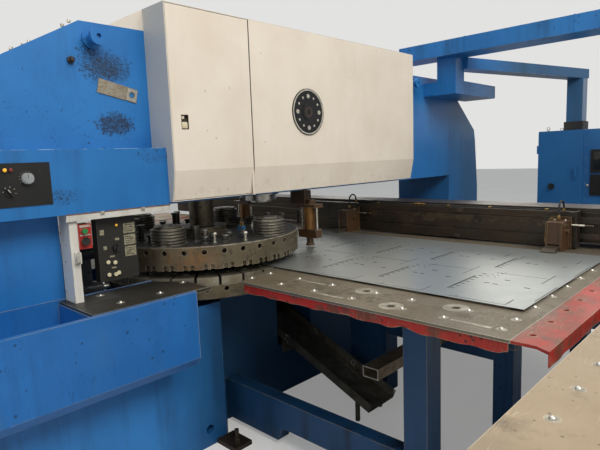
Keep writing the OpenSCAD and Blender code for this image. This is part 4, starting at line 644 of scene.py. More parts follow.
# Boxes and plates of the controls: the button box in red paint, the plates and the emblem's
# disc in satin black, the operator box in near black, and the drive's housings in grey.
red = machine_paint(
    "red paint", rgb(168, 42, 36), rgb(150, 36, 32), rgb(46, 22, 20), 0.42, 0.4, 0.4
)
red.over("worn edges", rgb(196, 120, 104), 0.5, width=0.003, amount=0.5, break_up=60.0)
red.done("button_box")
black = machine_paint(
    "black satin paint", rgb(8, 8, 9), rgb(12, 12, 13), rgb(34, 32, 29), 0.5, 0.2, 0.12
)
black.over("worn edges", rgb(92, 90, 86), 0.5, share=0.6, width=0.0015, amount=0.5, break_up=80.0)
black.done("side_panel", "console_screen", "emblem_disc")
operator = machine_paint(
    "grey operator paint", rgb(30, 29, 26), rgb(37, 36, 32), rgb(18, 17, 15), 0.55, 0.4, 0.2
)
operator.over(
    "worn edges", rgb(112, 110, 104), 0.5, share=0.7, width=0.003, amount=0.5, break_up=40.0
)
operator.done("operator_panel")
drive = machine_paint(
    "grey machine paint", rgb(66, 70, 74), rgb(78, 81, 84), rgb(32, 30, 28), 0.5, 0.6, 0.4
)
drive.over("worn edges", rgb(130, 126, 118), 0.45, width=0.004, amount=0.5, break_up=20.0)
drive.done("drive_motor", "index_housing", "slide_rails")

# Plastic parts: moulded knobs, buttons and the pull of the hood's door. Fingers have rubbed
# them paler, and the grey knob darker.
for plastic_name, colour, rubbed, roughness, nodes in (
    ("black plastic", rgb(28, 28, 28), rgb(60, 59, 57), 0.42,
     ("stop_button", "operator_knob", "cabinet_switch")),
    ("dark pull plastic", rgb(54, 50, 44), rgb(96, 88, 74), 0.5, ("door_latch",)),
    ("grey plastic", rgb(146, 150, 152), rgb(118, 121, 122), 0.4, ("panel_knob",)),
    ("green plastic", rgb(38, 120, 66), rgb(64, 138, 88), 0.35, ("start_button",)),
):
    moulded = Finish(plastic_name, colour, roughness)
    moulded.over(
        "cloudy patches", rubbed, roughness + 0.12, share=0.6, scale=30.0, low=0.45, high=0.7
    )
    moulded.relief("fine grain", 0.08, scale=1400.0)
    moulded.done(*nodes)


# Turrets: two big ground steel discs that turn together, brown with old oil; their upward faces
# are painted near black as painted shade.
# The punches, the sprung stations and the die blocks that they carry are tool steel.
def bare_steel(name, clean, stain, dark, roughness, metallic=0.8, grain=EVEN, scale=5.0):
    """Bare machined steel: stained in clouds, dark with oil in patches, with fine tool marks."""
    steel = Finish(name, clean, roughness, metallic)
    steel.over("cloudy patches", stain, roughness + 0.1, scale=scale, low=0.35, high=0.65)
    steel.over(
        "cloudy patches", dark, roughness + 0.18, share=0.7, scale=scale * 2.3, low=0.55, high=0.72
    )
    steel.over("oil specks", dark, 0.6, share=0.8, scale=60.0, size=0.35, crowd=0.25)
    steel.relief("fine grain", 0.1, scale=300.0, stretch=grain)
    return steel


turret = bare_steel(
    "oily turret steel with painted shade", rgb(112, 104, 86), rgb(88, 78, 60), rgb(38, 34, 27), 0.38, 0.7,
    grain=(1.0, 1.0, 8.0), scale=7.0,
)
STAIN_CENTRE, STAIN_REACH = (0.44, -0.9, 1.04), (0.15, 0.15, 0.09)
offset = vector_calc(turret.tree, "SUBTRACT", place(turret.tree), STAIN_CENTRE)
offset = vector_calc(turret.tree, "DIVIDE", offset, STAIN_REACH)
far = add(turret.tree, "VectorMath", {0: offset}, operation="LENGTH").outputs["Value"]
clouds = turret.mask("cloudy patches", scale=16.0, low=0.36, high=0.62)
stained = turret.both(ramp(turret.tree, far, 1.2, 0.1), clouds)
turret.coat(stained, rgb(150, 108, 66), 0.4, share=0.75)
# Upward faces are painted near black: painted shade.
turret.coat(turret.facing("Z", 0.5, 0.9), rgb(14, 13, 11), 0.6, metallic=0.0, share=0.96)
turret.over("worn edges", rgb(190, 180, 160), 0.3, width=0.004, amount=0.6, break_up=20.0)
turret.done("upper_turret", "lower_turret")
spring = bare_steel(
    "sprung station steel", rgb(84, 80, 70), rgb(58, 54, 45), rgb(24, 22, 19), 0.36, 0.7, scale=14.0
)
spring.over("worn edges", rgb(206, 200, 184), 0.25, width=0.004, amount=0.6, break_up=40.0)
spring.done("spring_stations")
punch = bare_steel(
    "punch head steel", rgb(72, 70, 65), rgb(50, 47, 42), rgb(22, 21, 19), 0.34, 0.75, scale=22.0
)
punch.over("worn edges", rgb(200, 198, 190), 0.25, width=0.002, amount=0.6, break_up=60.0)
punch.done("punch_heads")
die = bare_steel(
    "die block steel", rgb(150, 144, 128), rgb(120, 110, 90), rgb(58, 52, 42), 0.4, 0.75, scale=10.0
)
die.over("worn edges", rgb(208, 202, 188), 0.3, width=0.003, amount=0.6, break_up=30.0)
die.done("die_blocks")

# Tables: thick rolled steel plates, worn brown and grey by the sheets that slide over them.
# The shelf by the turret is darker with oil, and the side tables are paler and rusty.
ALONG_X, ALONG_Y = (1.0, 9.0, 1.0), (9.0, 1.0, 1.0)
table = bare_steel(
    "worn table steel", rgb(118, 109, 94), rgb(98, 88, 70), rgb(66, 58, 46), 0.44, 0.6,
    grain=(1.0, 6.0, 1.0), scale=3.2,
)
table.over(
    "scratches", rgb(150, 142, 124), 0.36, share=0.7, scale=9.0, width=0.012, stretch=ALONG_Y
)
table.over(
    "scratches", rgb(142, 134, 116), 0.36, share=0.6, scale=5.0, width=0.01, stretch=ALONG_X
)
near_corner = {"centre": (1.25, -0.62, 0.942), "reach": (0.4, 0.12, 0.05)}
table.over("smudge", rgb(62, 56, 48), 0.5, share=0.6, **near_corner, scale=26.0, density=0.4)
table.over("worn edges", rgb(196, 190, 172), 0.3, width=0.005, amount=0.72, break_up=8.0)
table.done("centre_table")
shelf = bare_steel(
    "oily shelf steel", rgb(58, 55, 48), rgb(44, 42, 36), rgb(26, 25, 22), 0.42, 0.5,
    grain=(1.0, 6.0, 1.0), scale=3.2,
)
shelf.over(
    "scratches", rgb(96, 92, 82), 0.36, share=0.5, scale=9.0, width=0.012, stretch=ALONG_Y
)
shelf.over("worn edges", rgb(186, 180, 164), 0.3, width=0.005, amount=0.8, break_up=8.0)
shelf.done("shelf_plate")
tan = bare_steel(
    "tan table steel", rgb(158, 140, 114), rgb(140, 122, 98), rgb(92, 84, 70), 0.46, 0.45,
    grain=(6.0, 1.0, 1.0), scale=2.6,
)
tan.over("cloudy patches", rgb(128, 128, 112), 0.5, share=0.5, scale=1.3, low=0.5, high=0.7)
tan.over("scratches", rgb(196, 180, 152), 0.36, share=0.7, scale=6.0, width=0.012, stretch=ALONG_Y)
tan.over("worn edges", rgb(206, 196, 172), 0.3, width=0.005, amount=0.7, break_up=10.0)
tan.done("side_tables")

# Carriage and feet: long ground beams, dark with oil, that carry the workholders along the
# table. The anchor feet of the frame are as dark.
beam = bare_steel(
    "oily beam steel", rgb(52, 46, 36), rgb(38, 33, 26), rgb(18, 16, 13), 0.38, 0.5,
    grain=(8.0, 1.0, 1.0), scale=4.0,
)
beam_face = {"centre": (1.0, 0.94, 1.09), "reach": (0.75, 0.05, 0.035)}
beam.over("smudge", rgb(88, 78, 60), 0.4, share=0.5, **beam_face, scale=14.0, density=0.5)
beam.over("cloudy patches", rgb(64, 42, 28), 0.5, share=0.5, scale=2.6, low=0.5, high=0.66)
beam.over(
    "scratches", rgb(88, 78, 62), 0.34, share=0.5, scale=8.0, width=0.02, stretch=(1.0, 9.0, 9.0)
)
beam.over("worn edges", rgb(116, 106, 86), 0.36, share=0.8, width=0.004, amount=0.5, break_up=10.0)
beam.done("cross_carriage", "carriage_base", "anchor_feet")

# Workholders and hold-downs: cast blocks in brown tool paint, worn to pale metal at their
# edges.
brown = machine_paint(
    "brown tool paint", rgb(62, 44, 29), rgb(74, 52, 33), rgb(24, 18, 13), 0.42, 0.6, 0.3
)
brown.over("worn edges", rgb(150, 128, 96), 0.4, width=0.003, amount=0.6, break_up=40.0)
brown.done("workholders", "hold_down_units", "hold_down_foot_right", "hold_down_foot_left")

# Bright and bare metal: ground pins, ram and pulley, the transfer balls in their cups, the
# scraped chute, the bare tube, the oily jaws and the cast iron wheel.
bright = bare_steel(
    "bright steel", rgb(200, 199, 194), rgb(172, 169, 160), rgb(112, 106, 94), 0.24, 0.9, scale=16.0
)
bright.done("index_pins", "ram", "ram_guide", "motor_pulley")
balls = bare_steel(
    "ball and cup steel", rgb(204, 203, 198), rgb(180, 177, 168), rgb(120, 114, 102), 0.24, 0.9,
    scale=16.0,
)
CUP_TOP, BALL_FOOT = 0.9436, 0.9448
balls.coat(balls.along("Z", BALL_FOOT, CUP_TOP), rgb(138, 131, 116), 0.44, metallic=0.5)
clouds = balls.mask("cloudy patches", scale=30.0, low=0.45, high=0.65)
balls.coat(balls.both(balls.along("Z", BALL_FOOT, CUP_TOP), clouds), rgb(176, 170, 154), 0.36)
balls.done("ball_transfers", "side_table_balls")
chute = bare_steel(
    "scraped chute steel", rgb(120, 116, 106), rgb(92, 88, 78), rgb(48, 44, 38), 0.42, 0.7,
    grain=(1.0, 8.0, 8.0), scale=9.0,
)
chute.over("scratches", rgb(204, 200, 186), 0.3, scale=10.0, width=0.03, stretch=(1.0, 8.0, 1.0))
chute.done("scrap_chute")
tube = bare_steel(
    "bare tube steel", rgb(150, 136, 118), rgb(120, 106, 88), rgb(66, 56, 46), 0.42, 0.65,
    scale=10.0,
)
tube.over("worn edges", rgb(210, 204, 190), 0.3, width=0.003, amount=0.8, break_up=20.0)
tube.done("support_tube")
jaw = bare_steel(
    "oily jaw steel", rgb(72, 64, 52), rgb(54, 47, 38), rgb(26, 23, 19), 0.4, 0.5, scale=14.0
)
jaw.over("worn edges", rgb(150, 142, 124), 0.3, width=0.003, amount=0.6, break_up=40.0)
jaw.done("jaw_right", "jaw_left")
cast = bare_steel(
    "machined cast iron", rgb(112, 114, 116), rgb(92, 92, 90), rgb(48, 44, 40), 0.45, 0.6, scale=8.0
)
cast.done("flywheel")

# Punched sheet: cold rolled steel sheet, cool grey and smooth, nested with small cut-outs. It
# has fine rolling marks and a few scratches.
sheet = Finish("cold rolled sheet", rgb(172, 176, 172), 0.36, metallic=0.85)
sheet.over(
    "cloudy patches", rgb(158, 164, 164), 0.38, scale=1.6, low=0.3, high=0.7,
    stretch=(1.0, 0.4, 1.0),
)
sheet.over("cloudy patches", rgb(182, 184, 178), 0.34, share=0.5, scale=7.0, low=0.5, high=0.72)
sheet.over(
    "scratches", rgb(120, 126, 128), 0.4, share=0.7, scale=5.0, width=0.006,
    stretch=(1.0, 10.0, 1.0),
)
sheet.relief("fine grain", 0.03, scale=90.0, stretch=(1.0, 8.0, 1.0))
sheet.done("punched_sheet")

# Table trim: red painted sheet. A lip under the near edge, dented and torn at its end, and a
# strip along the outer edge with a row of screw holes and a folded outer side.
trim = machine_paint(
    "worn red paint", rgb(176, 42, 28), rgb(156, 38, 28), rgb(38, 20, 16), 0.46, 0.5, 0.5
)
trim.over(
    "cloudy patches", rgb(92, 58, 42), 0.5, share=0.8,
    scale=9.0, low=0.52, high=0.6, stretch=(1.0, 0.5, 1.0),
)
clouds = trim.mask("cloudy patches", scale=5.0, low=0.38, high=0.6)
trim.coat(trim.both(clouds, trim.facing("Z", 0.4, 0.9)), rgb(98, 70, 52), 0.46, share=0.75)
trim.over(
    "scratches", rgb(150, 130, 112), 0.4, share=0.7, scale=9.0, width=0.02, stretch=ALONG_Y
)
trim.over("worn edges", rgb(150, 136, 116), 0.4, width=0.004, amount=0.6, break_up=16.0)
worn_red = trim.done("table_trim")
UNDER, TRIM_TOP, LIP_LOW = 0.930, 0.942, 0.886
LIP_FACE, LIP_THICK = -0.7685, 0.003
LIP_START, LIP_LENGTH, TORN_FROM = 0.70, 1.322, 1.99
STRIP_IN, STRIP_OUT = 2.0305, 2.1575
STRIP_NEAR, STRIP_END, BEVEL_X, BEVEL_Y = -0.7745, 1.8995, 2.112, -0.8005
FOLD_THICK, FOLD_LENGTH = 0.003, 2.70
HOLE_X, FIRST_HOLE, HOLE_PITCH, HOLE_RADIUS, HOLES = 2.068, -0.683, 0.172, 0.011, 15
PRESSED_RIM = ((-0.0006, 0.0112), (0.0006, 0.0125), (0.0006, 0.0165), (-0.0006, 0.0175))


def on_top(x, y, z):
    """A point of an outline that is drawn from above."""
    return Vector((x, y, z))


def lip_section(x):
    """The lip cut across at x: its face hangs down, waves and bulges, and its edge rises."""
    dent = 0.0035 * math.sin(x * 31.0) + 0.003 * math.sin(x * 83.0 + 1.0)
    gouge = 0.009 * math.exp(-((x - 1.62) / 0.035) ** 2)
    gouge += 0.006 * math.exp(-((x - 1.33) / 0.05) ** 2)
    rise = 0.002 * math.sin(x * 47.0) + 0.9 * gouge + max(0.0, x - TORN_FROM) * 0.35
    face = [
        (LIP_FACE, UNDER - 0.0005),
        (LIP_FACE - 0.001 + dent * 0.3, 0.912),
        (LIP_FACE + dent * 0.4 + gouge, 0.898),
        (LIP_FACE + dent * 0.5 + gouge * 0.6, LIP_LOW + 0.003 + rise),
    ]
    return face + [(y + LIP_THICK, z) for y, z in reversed(face)]


def fold_section(y):
    """The strip's folded side cut across at y: it sways, and its lower edge is wavy."""
    sway = 0.0012 * math.sin(y * 23.0) + 0.001 * math.sin(y * 61.0)
    low = LIP_LOW + 0.002 + 0.0015 * math.sin(y * 37.0)
    top = UNDER + 0.0004
    leaning = STRIP_OUT - 0.001 + sway
    return [
        (STRIP_OUT, top), (leaning, low), (leaning - FOLD_THICK, low), (STRIP_OUT - FOLD_THICK, top)
    ]


work = bmesh.new()
for side in (1, -1):
    lip = []
    for k in range(91):
        x = LIP_START + LIP_LENGTH * k / 90
        lip.append([work.verts.new((side * x, y, z)) for y, z in lip_section(x)])
    skin(work, lip)
    strip = [
        (STRIP_IN, STRIP_NEAR), (BEVEL_X, STRIP_NEAR), (STRIP_OUT, BEVEL_Y),
        (STRIP_OUT, STRIP_END), (STRIP_IN, STRIP_END),
    ]
    centres = [(side * HOLE_X, FIRST_HOLE + HOLE_PITCH * i) for i in range(HOLES)]
    pierced(
        work, [(side * x, y) for x, y in strip], [circle(*c, HOLE_RADIUS) for c in centres],
        UNDER + 0.0005, TRIM_TOP - 0.0005, on_top,
    )
    for centre in centres:
        lathe(work, PRESSED_RIM, (*centre, TRIM_TOP), "z", 20)
    fold = []
    for k in range(101):
        y = BEVEL_Y + FOLD_LENGTH * k / 100
        fold.append([work.verts.new((side * x, y, z)) for x, z in fold_section(y)])
    skin(work, fold)
red_trim = piece("red_trim", work, worn_red, "frame")
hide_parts("table_trim")

# Emblem plate: black enamelled disc with a pale rim, a ring of pale dots and a rusty steel
# hub. Every third dot is a large one.
pale = Finish("pale enamel", rgb(176, 172, 160), 0.4)
pale.over("cloudy patches", rgb(140, 136, 126), 0.5, scale=40.0, low=0.4, high=0.7)
pale_enamel = pale.done()
EMBLEM_Y, EMBLEM_Z = 0.0, 1.823
DOT_CIRCLE, DOTS, BIG_DOT, SMALL_DOT = 0.0952, 12, 0.013, 0.0075
EMBLEM_RIM = (
    (-0.003, 0.1275), (0.0005, 0.128), (0.001, 0.130), (0.001, 0.1345), (0.0003, 0.1365),
    (-0.003, 0.137),
)
HUB = (
    (-0.002, 0.034), (0.001, 0.034), (0.0015, 0.031), (0.0015, 0.020), (0.0005, 0.018),
    (0.0005, 0.0),
)
disc_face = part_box("emblem_disc")[1][0] - 0.0008
work = bmesh.new()
lathe(work, EMBLEM_RIM, (disc_face, EMBLEM_Y, EMBLEM_Z), "x", 64)
for k in range(DOTS):
    a = 2 * math.pi * k / DOTS
    y, z = EMBLEM_Y + DOT_CIRCLE * math.sin(a), EMBLEM_Z + DOT_CIRCLE * math.cos(a)
    radius = BIG_DOT if k % 3 == 0 else SMALL_DOT
    dot = ((-0.003, radius), (0.0004, radius), (0.001, radius * 0.8), (0.001, 0.0))
    lathe(work, dot, (disc_face, y, z), "x", 14)
piece("emblem_marks", work, pale_enamel, "frame")
work = bmesh.new()
lathe(work, HUB, (disc_face, EMBLEM_Y, EMBLEM_Z), "x", 32)
piece("emblem_hub", work, rusty_bolt, "frame")

# Control plate on the side box: two lamp lenses, white pointers on the selector grips and
# short white marks round the selectors and the knob, printed on the black plate.
amber = Finish("amber lens", rgb(214, 150, 30), 0.25, coat=0.5)
amber.over("cloudy patches", rgb(240, 196, 80), 0.3, scale=120.0, low=0.4, high=0.7)
amber.set(emission_color=rgb(230, 170, 40), emission_strength=0.25)
amber_lens = amber.done()
ruby = Finish("red lens", rgb(104, 34, 26), 0.25, coat=0.5)
ruby.over("cloudy patches", rgb(130, 52, 40), 0.3, scale=120.0, low=0.4, high=0.7)
PLATE_X, PRINT = 0.417, 0.0006
BEZEL_TOP, LAMP_Z = PLATE_X + 0.0092, 1.541
KNOB_CENTRE, SELECTORS = (-1.633, 1.505), ((-1.702, 1.452), (-1.83, 1.50))
GRIP_FACE, POINTER_TOP = PLATE_X + 0.018, PLATE_X + 0.0188
LENS = ((0.0, 0.0078), (0.002, 0.0074), (0.004, 0.0052), (0.0046, 0.0))
for name, y, finish in (("amber_lamp", -1.713, amber_lens), ("red_lamp", -1.691, ruby.done())):
    work = bmesh.new()
    lathe(work, LENS, (BEZEL_TOP, y, LAMP_Z), "x", 18)
    piece(name, work, finish, "frame")


def slab(work, outline, low, high, to_point, chamfer=0.0):
    """Plate cut to an outline, from low to high, with its two rims chamfered."""
    levels = [(outline, low + chamfer), (outline, high - chamfer)]
    if chamfer:
        centre = [sum(p[i] for p in outline) / len(outline) for i in (0, 1)]
        inner = []
        for p in outline:
            away = [p[0] - centre[0], p[1] - centre[1]]
            cut = [math.copysign(min(chamfer, abs(a)), a) for a in away]
            inner.append((p[0] - cut[0], p[1] - cut[1]))
        levels = [(inner, low), *levels, (inner, high)]
    skin(work, [[work.verts.new(to_point(u, v, w)) for u, v in ring] for ring, w in levels])


def ray(work, centre, angle, start, end, half_width, low, high):
    """Short mark that points away from a knob's centre, at an angle from upright."""
    a = math.radians(angle)
    ahead, across = Vector((-math.sin(a), math.cos(a))), Vector((math.cos(a), math.sin(a)))
    mark = oblong(start, -half_width, end, half_width)
    corners = [tuple(Vector(centre) + ahead * r + across * w) for r, w in mark]
    slab(work, corners, low, high, on_side)


work = bmesh.new()
for selector in SELECTORS:
    for angle in (-100, -55, -10, 35, 80):
        ray(work, selector, angle, 0.0205, 0.026, 0.0009, PLATE_X, PLATE_X + PRINT)
    ray(work, selector, 35, 0.001, 0.0155, 0.0016, GRIP_FACE, POINTER_TOP)
for k in range(11):
    ray(work, KNOB_CENTRE, -120 + 24 * k, 0.026, 0.030, 0.0008, PLATE_X, PLATE_X + PRINT)
piece("plate_marks", work, pale_enamel, "frame")

# Pull of the hood's door: a cream plastic slide in the dark recess, with a ribbed thumb grip,
# and a small stop above it.
slide = Finish("cream plastic", rgb(214, 204, 172), 0.38)
slide.over("cloudy patches", rgb(180, 166, 128), 0.5, share=0.7, scale=50.0, low=0.45, high=0.7)
cream_plastic = slide.done()
SLIDE_NEAR, SLIDE_FAR, SLIDE_BACK, SLIDE_FACE = -0.9125, -0.8815, 0.457, 0.4685
SLIDE_LOW, SLIDE_HIGH, SLIDE_TIP = 1.711, 1.739, 1.743
RIB_NEAR, RIB_FAR, FIRST_RIB, RIB_TALL, RIB_PITCH = -0.908, -0.886, 1.718, 0.0025, 0.007
STOP_FAR, STOP_LOW, STOP_HIGH, STOP_FACE = -0.8975, 1.757, 1.771, 0.466
work = bmesh.new()
outline = [
    (SLIDE_NEAR, SLIDE_LOW), (SLIDE_FAR, SLIDE_LOW), (SLIDE_FAR, SLIDE_HIGH),
    (RIB_FAR, SLIDE_TIP), (RIB_NEAR, SLIDE_TIP), (SLIDE_NEAR, SLIDE_HIGH),
]
slab(work, outline, SLIDE_BACK, SLIDE_FACE, on_side, 0.0015)
for k in range(3):
    z = FIRST_RIB + RIB_PITCH * k
    outline = oblong(RIB_NEAR, z, RIB_FAR, z + RIB_TALL)
    slab(work, outline, SLIDE_FACE - 0.0005, SLIDE_FACE + 0.001, on_side)
stop = oblong(SLIDE_NEAR, STOP_LOW, STOP_FAR, STOP_HIGH)
slab(work, stop, SLIDE_BACK, STOP_FACE, on_side, 0.001)
piece("latch_slide", work, cream_plastic, "hood_door")

# Operator box: pale engraved plates with black lines, small legend plates, ringed cream keys
# and an amber lamp lens, all on the dark box's face.
plate = Finish("engraved plate", rgb(150, 146, 122), 0.45)
plate.over("cloudy patches", rgb(112, 106, 84), 0.55, scale=70.0, low=0.4, high=0.65)
ink = Finish("black ink", rgb(26, 26, 25), 0.5)
ink.over("cloudy patches", rgb(70, 68, 60), 0.55, scale=200.0, low=0.5, high=0.7)
black_ink = ink.done()
BOX_NEAR, BOX_LOW = -1.335, 1.003
FACE_X, PLATE_TOP, LINE_TOP = 0.352, 0.3528, 0.3531
LEGEND_BACK, LEGEND_FACE, KEY_X = 0.3515, 0.3521, 0.358
PLATE_NEAR, PLATE_WIDE, PLATE_TALL, PLATE_PITCH, FIRST_PLATE = -1.205, 0.058, 0.048, 0.056, 1.107
LINE_INDENT, LINE_HALF = 0.006, 0.0015
ENGRAVED_LINES = ((0.039, 0.034), (0.029, 0.044), (0.019, 0.026), (0.010, 0.038))
KEY_RING = (
    (-0.002, 0.0095), (0.0015, 0.0095), (0.003, 0.008), (0.003, 0.0055), (0.0018, 0.005),
    (0.0018, 0.0),
)
work, lines = bmesh.new(), bmesh.new()
for i in range(3):
    low = FIRST_PLATE + PLATE_PITCH * i
    outline = oblong(PLATE_NEAR, low, PLATE_NEAR + PLATE_WIDE, low + PLATE_TALL)
    slab(work, outline, FACE_X, PLATE_TOP, on_side, 0.0003)
    start = PLATE_NEAR + LINE_INDENT
    for up, wide in ENGRAVED_LINES:
        outline = oblong(start, low + up - LINE_HALF, start + wide, low + up + LINE_HALF)
        slab(lines, outline, PLATE_TOP, LINE_TOP, on_side)
for y0, z0, wide, tall in (
    (0.013, 0.221, 0.020, 0.024), (0.085, 0.189, 0.020, 0.010), (0.053, 0.111, 0.024, 0.008),
    (0.025, 0.151, 0.016, 0.016), (0.059, 0.057, 0.022, 0.007),
):
    y, z = BOX_NEAR + y0, BOX_LOW + z0
    slab(work, oblong(y, z, y + wide, z + tall), LEGEND_BACK, LEGEND_FACE, on_side)
piece("operator_plates", work, plate.done(), "frame")
piece("operator_marks", lines, black_ink, "frame")
work = bmesh.new()
for y0, z0 in ((0.040, 0.091), (0.074, 0.085), (0.040, 0.031), (0.073, 0.028), (0.089, 0.033)):
    lathe(work, KEY_RING, (KEY_X, BOX_NEAR + y0, BOX_LOW + z0), "x", 16)
piece("operator_keys", work, cream_plastic, "frame")
BOX_LAMP = (0.359, -1.242, 1.264)
BOX_LENS = ((0.0, 0.0068), (0.003, 0.0062), (0.005, 0.004), (0.0055, 0.0))
work = bmesh.new()
lathe(work, BOX_LENS, BOX_LAMP, "x", 16)
piece("operator_lamp", work, amber_lens, "frame")

# Button box: pale strips above the buttons and between them, glued to the red box's face.
# They are thin enamelled sheet.
BUTTON_FACE, LABEL_TOP, LABEL_NEAR, LABEL_FAR = 0.395, 0.3962, -1.431, -1.385
work = bmesh.new()
for low, high in ((1.2765, 1.2865), (1.2385, 1.2445)):
    label = oblong(LABEL_NEAR, low, LABEL_FAR, high)
    slab(work, label, BUTTON_FACE, LABEL_TOP, on_side, 0.0004)
piece("button_labels", work, pale_enamel, "frame")

# Lamp reflector: its seam under the side box has rusted brown; two square clips, each with a
# small screw, hold it.
rust = Finish("rusted seam", rgb(92, 62, 42), 0.65)
rust.over("cloudy patches", rgb(128, 92, 62), 0.7, scale=60.0, low=0.4, high=0.62)
rust.over("oil specks", rgb(48, 34, 26), 0.7, scale=120.0, size=0.5, crowd=0.4)
SEAM_START, SEAM_STEP, SEAM_TOP, SEAM_LOW = -1.489, 0.0128, 1.3415, 1.3365
SEAM_BACK, SEAM_FACE = 0.4125, 0.4138
CLIP_SCREW = ((0.0, 0.0035), (0.0015, 0.003), (0.0018, 0.0))
CLIP_FACE, CLIP_HALF, CLIP_LOW, CLIP_TOP, CLIP_Z = 0.4165, 0.009, 1.327, 1.341, 1.334
work = bmesh.new()
ragged = [(SEAM_START + SEAM_STEP * k, SEAM_TOP + 0.0012 * math.sin(k * 2.1)) for k in range(41)]
outline = ragged + [(y, SEAM_LOW) for y, _ in reversed(ragged)]
slab(work, outline, SEAM_BACK, SEAM_FACE, on_side)
piece("reflector_seam", work, rust.done(), "frame")
work = bmesh.new()
for y in (-1.329, -1.128):
    outline = oblong(y - CLIP_HALF, CLIP_LOW, y + CLIP_HALF, CLIP_TOP)
    slab(work, outline, SEAM_FACE, CLIP_FACE, on_side, 0.0008)
    lathe(work, CLIP_SCREW, (CLIP_FACE, y, CLIP_Z), "x", 10)
piece("reflector_clips", work, screw_zinc, "frame")


# Hold-downs: bronze-coloured cylinder tube between its end plates, bright guide rods, and a
# braided air pipe with brass nuts that comes across from the far unit.
def bent(corners, radius, steps=6):
    """The line through these corners, with each corner rounded as a pipe is bent."""
    corners = [Vector(c) for c in corners]
    points = [corners[0]]
    for before, corner, after in zip(corners, corners[1:], corners[2:]):
        start = corner + (before - corner).normalized() * radius
        end = corner + (after - corner).normalized() * radius
        for k in range(steps + 1):
            t = k / steps
            points.append(start * (1 - t) ** 2 + corner * 2 * t * (1 - t) + end * t * t)
    return points + [corners[-1]]


def plain_rod(work, low, high, radius, base, axis, steps):
    """Round rod with flat ends, from low to high along its axis."""
    lathe(work, ((low, 0.0), (low, radius), (high, radius), (high, 0.0)), base, axis, steps)


bronze = Finish("bronze cylinder", rgb(132, 92, 46), 0.34, metallic=0.55)
bronze.over(
    "cloudy patches", rgb(88, 60, 32), 0.45, scale=20.0, low=0.35, high=0.65,
    stretch=(1.0, 1.0, 0.3),
)
bronze.over("oil specks", rgb(38, 28, 18), 0.5, scale=90.0, size=0.4, crowd=0.3)
bronze_tube = bronze.done()
rod_steel = bare_steel(
    "bright rod steel", rgb(206, 202, 190), rgb(170, 164, 148), rgb(90, 84, 72), 0.22, 0.9,
    scale=30.0,
).done()
UNIT_X, UNIT_Y = 0.33, 0.132
ROD_OFFSET, ROD_LOW, ROD_TOP, ROD_RADIUS = 0.066, 1.0705, 1.217, 0.0086
PIPE_RADIUS, PIPE_BEND = 0.0042, 0.014
CYLINDER = (
    (1.076, 0.0), (1.076, 0.0385), (1.082, 0.0385), (1.083, 0.0376), (1.206, 0.0376),
    (1.207, 0.0385), (1.2175, 0.0385), (1.2175, 0.0),
)
for side, sign in (("right", 1), ("left", -1)):
    work = bmesh.new()
    lathe(work, CYLINDER, (sign * UNIT_X, UNIT_Y, 0.0), "z", 32)
    piece(f"hold_down_tube_{side}", work, bronze_tube, "frame")
    work = bmesh.new()
    for x in (sign * UNIT_X - ROD_OFFSET, sign * UNIT_X + ROD_OFFSET):
        plain_rod(work, ROD_LOW, ROD_TOP, ROD_RADIUS, (x, UNIT_Y, 0.0), "z", 14)
    piece(f"guide_rods_{side}", work, rod_steel, f"hold_down_{side}")
braid = Finish("braided pipe", rgb(176, 172, 162), 0.4, metallic=0.6)
braid.over("fine grain", rgb(84, 80, 72), 0.5, scale=420.0)
PIPE_ROUTE = (
    (-0.262, 0.132, 1.206), (0.0, 0.136, 1.2075), (0.256, 0.132, 1.200), (0.264, 0.132, 1.10)
)
NUT = (
    (0.0, 0.0), (0.0, 0.0075), (0.012, 0.0075), (0.013, 0.0062), (0.016, 0.0045), (0.016, 0.0)
)
work = bmesh.new()
swept(work, bent(PIPE_ROUTE, PIPE_BEND), PIPE_RADIUS, 10)
piece("air_pipe", work, braid.done(), "frame")
work = bmesh.new()
for nut_at, axis in (((-0.268, 0.132, 1.206), "x"), ((0.264, 0.132, 1.094), "z")):
    lathe(work, NUT, nut_at, axis, 6)
piece("pipe_nuts", work, fitting_brass, "frame")


# Tools set down in the turret's stations: T-headed punches, a blue holder with two brass
# pins and a small pale bit.
def block(work, low, high, chamfer):
    """Rectangular part between two corners, its upper and lower rims chamfered."""
    slab(work, oblong(low[0], low[1], high[0], high[1]), low[2], high[2], on_top, chamfer)


TURRET_TOP, BIT_AT, PINS_Y = 1.113, (0.251, -0.302), -0.423
HOLDER_LOW, HOLDER_HIGH = (0.268, -0.438, TURRET_TOP), (0.310, -0.408, TURRET_TOP + 0.045)
HOLDER_PIN = ((0.0, 0.0), (0.0, 0.006), (0.020, 0.006), (0.024, 0.003), (0.024, 0.0))
BIT = (
    (0.0, 0.0), (0.0, 0.009), (0.010, 0.009), (0.012, 0.014), (0.034, 0.014), (0.036, 0.007),
    (0.048, 0.007), (0.05, 0.005), (0.05, 0.0),
)
work = bmesh.new()
for x, y, tall in ((0.305, -0.70, 0.062), (0.437, -0.735, 0.055), (0.53, -0.60, 0.05)):
    t_head = (
        (0.0, 0.0), (0.0, 0.013), (0.006, 0.013), (0.007, 0.008), (tall - 0.014, 0.008),
        (tall - 0.012, 0.015), (tall - 0.004, 0.015), (tall, 0.011), (tall, 0.0),
    )
    lathe(work, t_head, (x, y, TURRET_TOP), "z", 18)
piece("loose_punches", work, rod_steel, "upper_turret")
holder_blue = machine_paint(
    "blue holder paint", rgb(36, 74, 104), rgb(48, 88, 118), rgb(16, 26, 34), 0.45, 0.4, 0.3
).done()
work = bmesh.new()
block(work, HOLDER_LOW, HOLDER_HIGH, 0.003)
piece("tool_holder", work, holder_blue, "upper_turret")
work = bmesh.new()
for x in (0.279, 0.299):
    lathe(work, HOLDER_PIN, (x, PINS_Y, HOLDER_HIGH[2]), "z", 12)
piece("holder_pins", work, fitting_brass, "upper_turret")
work = bmesh.new()
